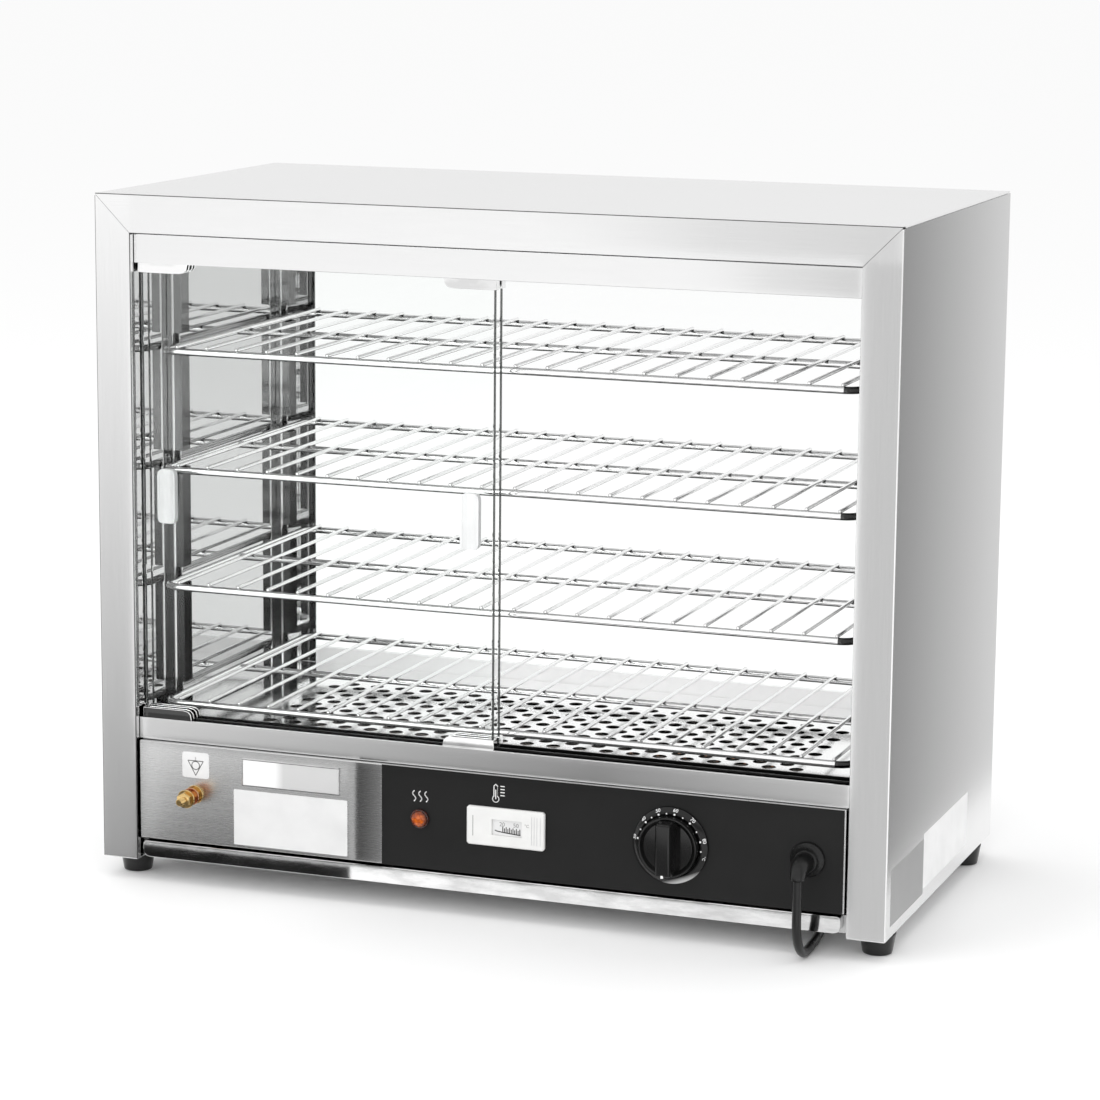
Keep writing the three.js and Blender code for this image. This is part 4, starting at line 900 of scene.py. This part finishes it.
def lettering(text, size, place, name, material=white_print, raise_by=0.06):
    """A number as a thin raised mesh: place is the matrix that lays its own XY plane on the surface."""
    curve = bpy.data.curves.new(name + "_curve", "FONT")
    curve.body = text
    curve.size = size
    curve.align_x = "CENTER"
    curve.align_y = "CENTER"
    curve.extrude = raise_by * mm
    curve.resolution_u = 3
    carrier = placed(name + "_text", curve)
    bpy.context.view_layer.update()
    mesh = bpy.data.meshes.new_from_object(carrier.evaluated_get(bpy.context.evaluated_depsgraph_get()))
    bpy.data.objects.remove(carrier)
    bpy.data.curves.remove(curve)
    bm = bmesh.new()
    bm.from_mesh(mesh)
    bpy.data.meshes.remove(mesh)
    bmesh.ops.remove_doubles(bm, verts=bm.verts, dist=1e-7)
    bmesh.ops.transform(bm, matrix=place, verts=bm.verts)
    return piece(bm, name, material)


def on_dial(degrees, radius, rise, tilt=0.0):
    """The matrix that lays a mark on the dial at an angle from +X, its foot towards the middle."""
    angle = math.radians(degrees)
    direction = X * math.cos(angle) + Z * math.sin(angle)
    sideways = X * math.sin(angle) - Z * math.cos(angle)
    outward = direction * math.cos(tilt) - Y * -math.sin(tilt)
    turn = Matrix((sideways, outward, sideways.cross(outward))).transposed().to_4x4()
    return Matrix.Translation(dial_centre + (direction * radius - Y * rise) * mm) @ turn


# %% Print on the dial
dial_numbers = ((30, 171), (40, 138), (50, 110), (60, 81), (70, 50), (80, 13))
unit_angle, last_dot = -15, -4
number_radius, dot_radius = 27.75, 25
number_height, unit_height = 4 * mm, 3.2 * mm
print_lift = 0.03
slope = math.atan2(crest_rise - slope_end_rise, slope_end - crest_radius)
number_rise = slope_end_rise + (slope_end - number_radius) * math.tan(slope) + print_lift
for number, angle in dial_numbers:
    place = on_dial(angle, number_radius, number_rise, slope)
    lettering(str(number), number_height, place, f"dial_number_{number}")
lettering("°C", unit_height, on_dial(unit_angle, number_radius, number_rise, slope), "dial_unit")
dot_angles = [angle for _, angle in dial_numbers]
dot_angles += [(a + b) / 2 for a, b in zip(dot_angles, dot_angles[1:])] + [last_dot]
bm = bmesh.new()
for i, angle in enumerate(dot_angles):
    dot = bmesh.new()
    size = (0.78 if i < len(dial_numbers) else 0.58) * mm
    bmesh.ops.create_cone(dot, cap_ends=True, segments=20, radius1=size, radius2=size, depth=0.12 * mm)
    bmesh.ops.transform(dot, matrix=on_dial(angle, dot_radius, 4.17), verts=dot.verts)
    join_into(bm, dot)
piece(bm, "dial_dots", white_print)
print("marks on the dial:", len(dial_numbers), "numbers and", len(dot_angles), "dots")

# %% [markdown]
# ## Lamp, earth stud and cable gland
# The lamp's lens is a domed cap in a thin collar. The earth stud is a brass screw through the panel with a
# nut on each side, and its thread is drawn as plain rings, because a helix would look the same at this size.
# The gland is a collar with an elbow that turns the lead downwards.

# %% Indicator lamp
overlay_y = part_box("panel_overlay")[0].y
seat = overlay_y - 0.3 * mm
lamp_face = node_middle("indicator_lamp")
lamp_face.y = seat
lamp_profile = [
    (0, -24), (5.9, -24), (5.9, 0), (7.3, 0), (7.55, 0.3), (7.55, 1.6), (7.2, 2), (6.4, 2.1), (6.1, 3),
    (5.2, 4), (3.6, 4.7), (1.8, 4.95), (0, 5),
]
bm = spun(lamp_profile, lamp_face, -Y, 48)
piece(bm, "amber_lamp", amber, stands_for=("indicator_lamp",), smooth_below=45)

# %% Earth stud
stud_low, stud_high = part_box("earth_stud")
stud_axis = node_middle("earth_stud")
stud_front = stud_low.y + 7 * mm
thread_turns, core_radius, root, crest = 30, 2.5, 2.55, 2.98
thread_pitch = (stud_high.y - stud_front) / mm / thread_turns
thread = [(0, 0), (2.2, 0)]
for i in range(thread_turns):
    thread += [(root, (i + 0.2) * thread_pitch), (crest, (i + 0.6) * thread_pitch)]
thread += [(core_radius, thread_turns * thread_pitch), (0, thread_turns * thread_pitch)]
stud = spun(thread, Vector((stud_axis.x, stud_front, stud_axis.z)), Y, 32)

# %% Nuts and washers
nut_height, nut_reach, washer_height = 5 * mm, 6.1 * mm, 1.4


def hex_nut(front):
    """A chamfered hexagon, its front face at front and its axis along Y."""
    nut = bmesh.new()
    bmesh.ops.create_cone(nut, cap_ends=True, segments=6, radius1=nut_reach, radius2=nut_reach,
                          depth=nut_height)
    rounded_off(nut, rims(nut), 0.7 * mm, 2)
    centre = Vector((stud_axis.x, front + nut_height / 2, stud_axis.z))
    bmesh.ops.transform(nut, matrix=aimed(centre, -Y), verts=nut.verts)
    return nut


def washer(front, radius, height):
    profile = [(2.9, 0), (radius - 0.3, 0), (radius, 0.3), (radius, height - 0.3), (radius - 0.3, height),
               (2.9, height), (2.9, 0)]
    return spun(profile, Vector((stud_axis.x, front, stud_axis.z)), Y, 40)


panel_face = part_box("control_panel")[0].y
outer_back = panel_face - 15.5 * mm
nut_low, nut_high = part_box("earth_nut")
join_into(stud, hex_nut(outer_back - washer_height * mm - nut_height))
join_into(stud, washer(outer_back - washer_height * mm, 7.3, washer_height))
piece(stud, "brass_earth_stud", brass, stands_for=("earth_stud",), smooth_below=35)
inner_nut = hex_nut(nut_low.y)
join_into(inner_nut, washer(nut_high.y - washer_height * mm, 7.3, washer_height))
piece(inner_nut, "brass_earth_nut", brass, stands_for=("earth_nut",), smooth_below=35)
for name, front, radius in (("copper_earth_washer", nut_low.y - 1.3 * mm, 6.9),
                            ("copper_outer_washer", outer_back + 0.1 * mm, 6.6)):
    piece(washer(front, radius, 1.1), name, copper, smooth_below=35)

# %% Cable gland


def swept(points, radii, sides):
    """A tube through points, a ring of its own radius at each, closed at both ends."""
    tube = bmesh.new()
    rings = []
    for i, (point, radius) in enumerate(zip(points, radii)):
        before, after = points[max(i - 1, 0)], points[min(i + 1, len(points) - 1)]
        place = aimed(point, (after - before).normalized())
        made = bmesh.ops.create_circle(tube, cap_ends=False, segments=sides, radius=radius, matrix=place)
        rings.append(list({e for v in made["verts"] for e in v.link_edges}))
    for first, second in zip(rings, rings[1:]):
        bmesh.ops.bridge_loops(tube, edges=first + second)
    bmesh.ops.holes_fill(tube, edges=rings[0] + rings[-1], sides=0)
    bmesh.ops.recalc_face_normals(tube, faces=tube.faces)
    return tube


gland_level, elbow_radius, elbow_steps = 57.5, 9, 10
gland_face = Vector((node_middle("cable_gland").x, seat, spot(0, 0, gland_level).z))
gland_profile = [
    (0, -11), (7.9, -11), (7.9, 0), (13, 0), (13.3, 0.4), (13.3, 1.3), (12.6, 2.3), (10.6, 4.2), (9.4, 6.4),
    (8.8, 8.4), (8.2, 9), (0, 9),
]
bm = spun(gland_profile, gland_face, -Y, 64)
elbow_centre = spot(259.5, -16, gland_level - elbow_radius)
elbow = [gland_face - Y * 3 * mm]
for i in range(elbow_steps + 1):
    angle = math.pi / 2 * i / elbow_steps
    elbow.append(elbow_centre + Vector((0, -math.sin(angle), math.cos(angle))) * elbow_radius * mm)
elbow_radii = [(7.2 - 1.7 * i / (len(elbow) - 1)) * mm for i in range(len(elbow))]
join_into(bm, swept(elbow, elbow_radii, 24))
piece(bm, "cable_gland_moulded", gland_plastic, stands_for=("cable_gland",),
      smooth_below=40)

# %% [markdown]
# ## Thermometer face
# Behind the small window is a white card with two numbers and a row of ticks over a curved line. The numbers
# are meshes and the ticks small blocks. Silver lines painted on the case stand for glints on its stepped
# edges, and a grey line for the shade in its slot.

# %% Thermometer face
thermo = node_middle("thermometer")
thermo.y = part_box("thermometer")[0].y
card_y = thermo.y + 1.75 * mm
window_x = thermo.x + 1.2 * mm
upright = Matrix((X, Z, -Y)).transposed().to_4x4()


def on_card(x, z, lift=0.0):
    return Matrix.Translation(Vector((window_x + x * mm, card_y - lift * mm, thermo.z + z * mm))) @ upright


face_card = block(Vector((24, 0.3, 12.2)) * mm, Vector((window_x, card_y + 0.15 * mm, thermo.z)), 0.1 * mm, 1)
piece(face_card, "thermometer_card", label_film)
for text, x in (("20", -4.2), ("50", 7)):
    lettering(text, 4.6 * mm, on_card(x, 2.4), f"thermometer_{text}", grey_print)

# %% Thermometer scale
# The scale's line curves down to the right. It is drawn in short dashes, with longer and shorter ticks on it.
scale_left, scale_right, tick_start, tick_count, dash_count = -9.6, 10.2, 0.3, 11, 24
bm = bmesh.new()


def scale_mark(share, wide, tall, rise=0.0):
    """One block on the curved line, at a share of its length."""
    x = scale_left + (scale_right - scale_left) * share
    place = on_card(x, -2.6 - 2.1 * share ** 0.6 + rise, 0.03).to_translation()
    join_into(bm, block(Vector((wide, 0.1, tall)) * mm, place))


for i in range(dash_count):
    scale_mark(i / (dash_count - 1), 1.1, 0.75)
for i in range(tick_count):
    tall = 3.4 if i % 2 else 4.6
    scale_mark(tick_start + (1 - tick_start) * i / (tick_count - 1), 0.7, tall, tall / 2)
piece(bm, "thermometer_ticks", black_print)

# %% Painted glints and shade on the thermometer's case
unit_place = Matrix.Translation(thermo + Vector((17.6, -0.02, 3.4)) * mm) @ upright
lettering("°C", 3.4 * mm, unit_place, "thermometer_unit", grey_print, raise_by=0.02)
for x in (21.6, 23.6, 25.8, 28.6):
    line = block(Vector((0.35, 0.1, 22)) * mm, thermo + Vector((x, -0.01, 0)) * mm)
    piece(line, f"thermometer_case_line_{x}".replace(".", "_"), painted_glint_silver)
slot_mark = block(Vector((0.45, 0.1, 16)) * mm, thermo + Vector((-26.2, -0.02, 0)) * mm)
piece(slot_mark, "thermometer_slot_line", grey_print)

# %% [markdown]
# ## Icons and bare plates on the panel
# Small pictures tell what each control is for: three heat waves over the lamp, a thermometer over the gauge,
# and an earth sign by the stud. They are raised strokes, so they need no image. The plates and labels on the
# steel are bare.

# %% Icons


def flat_strokes(strokes, width, name, y, material=white_print):
    """Raised strokes through lists of (x, z) cabinet millimetres on a plane of the panel."""
    bm = bmesh.new()
    for stroke in strokes:
        points = [Vector((spot(x, 0, z).x, y, spot(x, 0, z).z)) for x, z in stroke]
        for a, b in zip(points, points[1:]):
            run = b - a
            bar = block(Vector((width * mm, 0.1 * mm, run.length + width * mm * 0.6)), Vector())
            bmesh.ops.transform(bar, matrix=aimed((a + b) / 2, run.normalized()), verts=bar.verts)
            join_into(bm, bar)
    return piece(bm, name, material)


def arc(x, z, radius, start, sweep, steps):
    """Points on a circle, from a start angle through a sweep, in degrees from straight up."""
    angles = [math.radians(start + sweep * i / steps) for i in range(steps + 1)]
    return [(x + radius * math.sin(a), z + radius * math.cos(a)) for a in angles]


lamp_mid = (lamp_face / mm - cabinet_shift).x
waves = []
for shift in (-5, 0, 5):
    waves.append([(lamp_mid + shift + 1.3 * math.sin(i / 8 * 2 * math.pi), 71 + i) for i in range(9)])
flat_strokes(waves, 0.8, "heating_icon", overlay_y)
gauge_x = (thermo / mm - cabinet_shift).x - 9
tube_points = ((-1.5, 81.5), (-1.5, 89), (0, 90.4), (1.5, 89), (1.5, 81.5))
tube = [(gauge_x + across, z) for across, z in tube_points]
bulb = arc(gauge_x, 79, 2.6, 35, 290, 12)
mercury = [(gauge_x, 79), (gauge_x, 86)]
scale_ticks = [[(gauge_x + 4, 82 + 2.4 * i), (gauge_x + 7, 82 + 2.4 * i)] for i in range(4)]
flat_strokes([tube, bulb, mercury, *scale_ticks], 0.7, "temperature_icon", overlay_y)

# %% Plates and labels


def bare_plate(name, x, z, thickness, corner, material):
    size = Vector((x[1] - x[0], thickness, z[1] - z[0])) * mm
    centre = spot((x[0] + x[1]) / 2, 0, (z[0] + z[1]) / 2)
    centre.y = panel_face - thickness / 2 * mm
    return piece(block(size, centre, corner * mm, 5, "y"), name, material)


badge_left, badge_right, badge_bottom, badge_top, border_wide = -199.4, -116.4, 68.7, 90.5, 1
bare_plate("earth_sticker", (-251, -228), (70.8, 91.4), 0.15, 2, label_film)
bare_plate("blank_label", (-206.8, -110.2), (20.6, 65.1), 0.15, 0.8, label_film)
bare_plate("blank_badge", (badge_left, badge_right), (badge_bottom, badge_top), 0.5, 0.8, badge_film)
border = bmesh.new()
for x, z in (
    ((badge_left, badge_left + border_wide), (badge_bottom, badge_top)),
    ((badge_right - border_wide, badge_right), (badge_bottom, badge_top)),
    ((badge_left, badge_right), (badge_top - border_wide, badge_top)),
    ((badge_left, badge_right), (badge_bottom, badge_bottom + border_wide)),
):
    centre = spot((x[0] + x[1]) / 2, 0, (z[0] + z[1]) / 2)
    centre.y = panel_face - 0.55 * mm
    join_into(border, block(Vector((x[1] - x[0], 1.1, z[1] - z[0])) * mm, centre, 0.3 * mm, 2))
piece(border, "badge_border", trim_steel)

# %% Earth sign and side labels
sticker_mid, sign_top = -239.5, 84.6
half_sign, sign_drop, ring_radius = 6.6, 11.6, 3.3
triangle = [(sticker_mid - half_sign, sign_top), (sticker_mid + half_sign, sign_top),
            (sticker_mid, sign_top - sign_drop), (sticker_mid - half_sign, sign_top)]
ring = arc(sticker_mid, sign_top - 3.7, ring_radius, 90, -360, 20)
stem = [(sticker_mid, sign_top + 3), (sticker_mid, sign_top)]
flat_strokes([triangle, ring, stem], 0.55, "earth_sign", panel_face - 0.16 * mm, black_print)
for name, y, z, material, lift in (
    ("side_label_white", (108, 246), (12.7, 56), bright_film, 0.05),
    ("side_label_silver", (13, 108), (9, 52), dull_film, 0.04),
):
    centre = spot(0, (y[0] + y[1]) / 2, (z[0] + z[1]) / 2)
    centre.x = cad_box[1].x + lift * mm
    label = block(Vector((0.15, y[1] - y[0], z[1] - z[0])) * mm, centre)
    piece(label, name, material)

# %% [markdown]
# ## Heater parts and other carried-over nodes
# These sit under the plate or behind the panel, where only the holes show them. Their CAD shapes are right,
# so they keep them and get their finishes.

# %% Finishes of the hidden pieces
for node, material in (
    ("heating_element_front", element_sheath), ("heating_element_rear", element_sheath),
    ("sensing_bulb", copper), ("thermostat_spindle", spindle_steel),
):
    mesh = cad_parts[node].data
    mesh.materials.clear()
    mesh.materials.append(material)

# %% [markdown]
# ## Mains lead
# The lead leaves the gland downwards, turns under the cabinet and runs back between the feet. The length
# that the photograph doesn't show is wound in a coil behind the cabinet, with its plug beside it. One curve
# follows the whole route, so its thickness and bends are even.

# %% Lead route
lead_radius = 3.5
lead_rest = 3.6
lead_route = [
    (259.5, -173, 64.7), (259.5, -173, 50), (259.5, -173, 40), (259.5, -173, 31.6),
    (259.5, -172, 24.4), (259.5, -169.2, 17.6), (259.5, -164.8, 11.8), (259.5, -159, 7.4),
    (259.4, -152.2, 4.6), (259.2, -145, 3.6), (258.6, -130, 3.6), (257.2, -112, 3.6),
    (254.6, -92, 3.6), (251.6, -70, 3.6), (249.2, -48, 3.6), (247.8, -26, 3.6),
    (247.4, -4, 3.6), (248, 18, 3.6), (249.6, 40, 3.6), (251.8, 62, 3.6),
    (254.2, 84, 3.6), (256.4, 106, 3.6), (258.2, 128, 3.6), (259.2, 150, 3.6),
    (259.5, 172, 3.6), (259.5, 194, 3.6), (259.5, 216, 3.6), (259.5, 236.7, 3.6),
]
coil_radius, coil_pitch, coil_turns, coil_steps = 49, 7.6, 2.625, 24
coil_straight, coil_tail, climb_turns, meeting_gap = 7, 30, 0.5, 0.3


def smooth_share(value, start, width):
    share = min(max((value - start) / width, 0), 1)
    return share * share * (3 - 2 * share)


start_x, route_end = lead_route[-1][:2]
coil_y = route_end + meeting_gap + coil_straight
coil_x = start_x - coil_radius
coil_route = []
total_turns = 2 * coil_turns
for i in range(int(total_turns * coil_steps) + 1):
    turns_made = i / coil_steps
    wound = min(turns_made, total_turns - turns_made)
    radius = coil_radius - coil_pitch * wound
    climb = smooth_share(turns_made, coil_turns - climb_turns / 2, climb_turns)
    angle = 2 * math.pi * turns_made
    coil_route.append((coil_x + radius * math.cos(angle), coil_y + radius * math.sin(angle),
                       lead_rest + coil_pitch * climb))
end_x, end_y, end_z = coil_route[-1]
tail_route = [(end_x - coil_tail / 2, end_y, end_z), (end_x - coil_tail, end_y, end_z)]
route = [Vector(p) * mm for p in lead_route + coil_route + tail_route]

# %% Lead
curve = bpy.data.curves.new("mains_lead_flex", "CURVE")
curve.dimensions = "3D"
curve.bevel_depth = lead_radius * mm
curve.bevel_resolution = 5
curve.use_fill_caps = True
curve.resolution_u = 3
spline = curve.splines.new("BEZIER")
spline.bezier_points.add(len(route) - 1)
for point, place in zip(spline.bezier_points, route):
    point.co = place
    point.handle_left_type = point.handle_right_type = "AUTO"
curve.materials.append(lead_rubber)
lead = placed("mains_lead_flex", curve)
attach(lead, "cabinet")
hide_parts("mains_lead", "mains_lead_coil")

# %% [markdown]
# The plug is a moulded block with a tapered neck and three flat pins. It lies on the coil's end, so it is
# built along -X from there. A fabric tie holds the coil's turns together.

# %% Plug
plug_end = Vector((end_x - coil_tail - meeting_gap, end_y, end_z)) * mm
neck_length, body_length, body_width, body_thick = 22 * mm, 44 * mm, 37.6 * mm, 21.4 * mm
body_middle = plug_end - X * (neck_length + body_length / 2)
bm = block(Vector((body_length - 0.2 * mm, body_width, body_thick)), body_middle, 5 * mm, 5)
neck = [plug_end, plug_end - X * 7 * mm, plug_end - X * 16 * mm, plug_end - X * (neck_length + 3 * mm)]
join_into(bm, swept(neck, [4.5 * mm, 5.2 * mm, 6.4 * mm, 7.4 * mm], 24))
for i in range(4):
    rib_at = plug_end - X * (4 + 3.6 * i) * mm
    join_into(bm, swept([rib_at, rib_at - X * 1.8 * mm], [(5.5 + 0.5 * i) * mm] * 2, 24))
plug = piece(bm, "mains_plug_moulded", plug_plastic, stands_for=("mains_plug",),
             smooth_below=40)
pins = bmesh.new()
pin_middle = plug_end - X * (neck_length + body_length + 7 * mm)
for y, z, wide, tall in ((-6.8, 1.7, 1.7, 6.2), (6.8, 1.7, 1.7, 6.2), (0, -6.2, 6.8, 1.7)):
    join_into(pins, block(Vector((18.5, wide, tall)) * mm, pin_middle + Vector((0, y, z)) * mm, 0.4 * mm, 2))
plug_pins = piece(pins, "mains_plug_pins", brass)

# %% Tie
tie_half, tie_top, tie_wide, tie_corner, strap_thick = 14.6 * mm, 15.2 * mm, 11 * mm, 4.5 * mm, 0.8 * mm
tie_x = coil_x - coil_radius + coil_turns * coil_pitch / 2
tie_middle = Vector((tie_x * mm, coil_y * mm, tie_top / 2 + 0.05 * mm))
bm = block(Vector((2 * tie_half, tie_wide, tie_top - 0.1 * mm)), tie_middle, tie_corner, 5, "y")
ends = [f for f in bm.faces if abs(f.normal.y) > 0.9]
bmesh.ops.delete(bm, geom=ends, context="FACES")
bmesh.ops.solidify(bm, geom=bm.faces[:], thickness=strap_thick)
bmesh.ops.recalc_face_normals(bm, faces=bm.faces)
tie = piece(bm, "coil_tie", tie_fabric, smooth_below=40)

# %% [markdown]
# ## Studio
# The photograph is a cut-out on white. A white floor and a white world give that, and the floor keeps a soft
# shadow. Polished steel in an all-white room looks like paper, so grey and black cards lie and stand around
# the cabinet, as they do in a product studio. Only reflections see them.

# %% World
world = bpy.data.worlds.new("white_studio")
world.use_nodes = True
bpy.context.scene.world = world
world.node_tree.nodes["Background"].inputs["Color"].default_value = (1, 1, 1, 1)
world.node_tree.nodes["Background"].inputs["Strength"].default_value = 1.0

# %% Floor
floor_paint = Paint("studio_floor", grey(0.96), 0.8)
floor_paint.set({"Specular IOR Level": 0.0})
fleck = floor_paint.noise(300)
floor_paint.bump(fleck, 0.02 * mm, 0.1)
bm = bmesh.new()
bmesh.ops.create_grid(bm, x_segments=1, y_segments=1, size=30)
bmesh.ops.translate(bm, vec=Vector((0, 0, -0.05 * mm)), verts=bm.verts)
placed("studio_floor", mesh_of(bm, "studio_floor", floor_paint.material))

# %% Lamps


def lamp(name, place, aim, size, power):
    light = bpy.data.lights.new(name, "AREA")
    light.shape = "RECTANGLE"
    light.size, light.size_y = size
    light.energy = power
    made = placed(name, light)
    made.location = place
    made.rotation_euler = (Vector(aim) - Vector(place)).to_track_quat("-Z", "Y").to_euler()
    made.visible_glossy = False


lamp("top_softbox", (0.2, -0.4, 2.6), (0, 0, 0.2), (2.4, 2.0), 14)
lamp("front_softbox", (-1.4, -2.4, 1.5), (0, 0, 0.25), (1.6, 1.6), 14)
lamp("low_softbox", (0.9, -2.6, 0.9), (0.1, 0.1, 0.2), (1.6, 1.2), 12)

# %% [markdown]
# The camera looks down, so the upright steel mirrors the floor before it and beside it. Helpers follow
# the line from the camera's mirror image through a place on the steel, to a board close to the steel or to
# the floor. Each card is laid out with them in the cabinet's own millimetres, as a grid whose points carry
# its shade.

# %% Where the steel mirrors its surroundings
card_lift = 0.8 * mm
front_plane, side_plane = spot(0, 0, 0).y, cad_box[1].x
front_image = Vector((camera_place.x, 2 * front_plane - camera_place.y, camera_place.z))
side_image = Vector((2 * side_plane - camera_place.x, camera_place.y, camera_place.z))


def on_floor(x, z):
    """The floor spot that the front plane mirrors at x and z."""
    place = spot(x, 0, z)
    reach = (front_image.z - card_lift) / (front_image.z - place.z)
    return front_image + (place - front_image) * reach


def before_front(stand_off):
    """Gives the spots of an upright board, so many millimetres before the front plane."""
    reach = 1 + stand_off * mm / (front_image.y - front_plane)
    return lambda x, z: front_image + (spot(x, 0, z) - front_image) * reach


def beside_cabinet(stand_off):
    """Gives the spots of an upright board beside the right side panel."""
    reach = 1 + stand_off * mm / (side_plane - side_image.x)
    return lambda y, z: side_image + (Vector((side_plane, *spot(0, y, z)[1:])) - side_image) * reach


# %% Cards
shade_paint = Paint("shade_card", grey(0.0), 1.0)
shade_wire = shade_paint.node("ShaderNodeAttribute", {"attribute_name": "shade"})
cover = shade_paint.node("ShaderNodeAttribute", {"attribute_name": "shade"}, output=3)
shade_paint.set({"Emission Color": shade_wire, "Emission Strength": 1.0, "Specular IOR Level": 0.0})
shade_paint.set({"Alpha": cover})
card_steps = 16
rightwards, upwards = 0, 1


def card(name, place, across, up, shades, along=rightwards, fade=0.001):
    """A grid from across[0] to across[1] and up[0] to up[1], its shade running evenly along one of the two.

    fade is the share of that run over which the card comes in, from clear to solid."""
    bm = bmesh.new()
    bmesh.ops.create_grid(bm, x_segments=card_steps, y_segments=card_steps, size=0.5)
    shade_layer = bm.verts.layers.float_color.new("shade")
    for vert in bm.verts:
        shares = (vert.co.x + 0.5, vert.co.y + 0.5)
        shade = shades[0] + (shades[1] - shades[0]) * shares[along]
        vert[shade_layer] = (shade, shade, shade, min(1, (shares[along] + 0.001) / fade))
        vert.co = place(*(a + (b - a) * share for (a, b), share in zip((across, up), shares)))
    made = placed(name, mesh_of(bm, name, shade_paint.material))
    made.visible_camera = made.visible_diffuse = made.visible_transmission = made.visible_shadow = False


def behind(x, z):
    """A spot of the upright board behind the cabinet, which the top mirrors."""
    return Vector((x, 2000, z)) * mm


near_board, board = before_front(8), before_front(40)
card("shade_under_trim", on_floor, (-330, -108), (-9, 13), (0.01, 0.02))
card("shade_before_trim", on_floor, (-108, 290), (-9, 13), (1.05, 0.8))
card("shade_before_panel", on_floor, (-288, 286), (14, 97), (0.2, 0.24))
card("shade_before_sill", board, (-288, 90), (98, 116), (0.68, 0.28))
card("shade_before_sill_end", board, (90, 287), (98, 116), (0.28, 0.55))
card("band_before_panel", near_board, (-104, -81), (17, 98), (0.04, 0.22))
card("line_before_panel", near_board, (-110, -105), (17, 98), (0.5, 0.5))
card("shade_before_left_stile", board, (-326, -290), (-40, 540), (0.3, 1.08), upwards)
card("shade_before_right_stile", board, (291, 330), (-40, 500), (0.58, 0.64), upwards)
card("shade_before_header_end", board, (150, 286), (472, 494), (1.0, 0.72), fade=0.5)
card("shade_before_top_end", board, (40, 320), (499, 530), (0.95, 0.74), fade=0.5)
card("shade_beside", beside_cabinet(60), (-160, 500), (-40, 552), (0.12, 0.88))
card("shade_behind_top", behind, (-3500, 1500), (560, 1700), (0.88, 0.88))
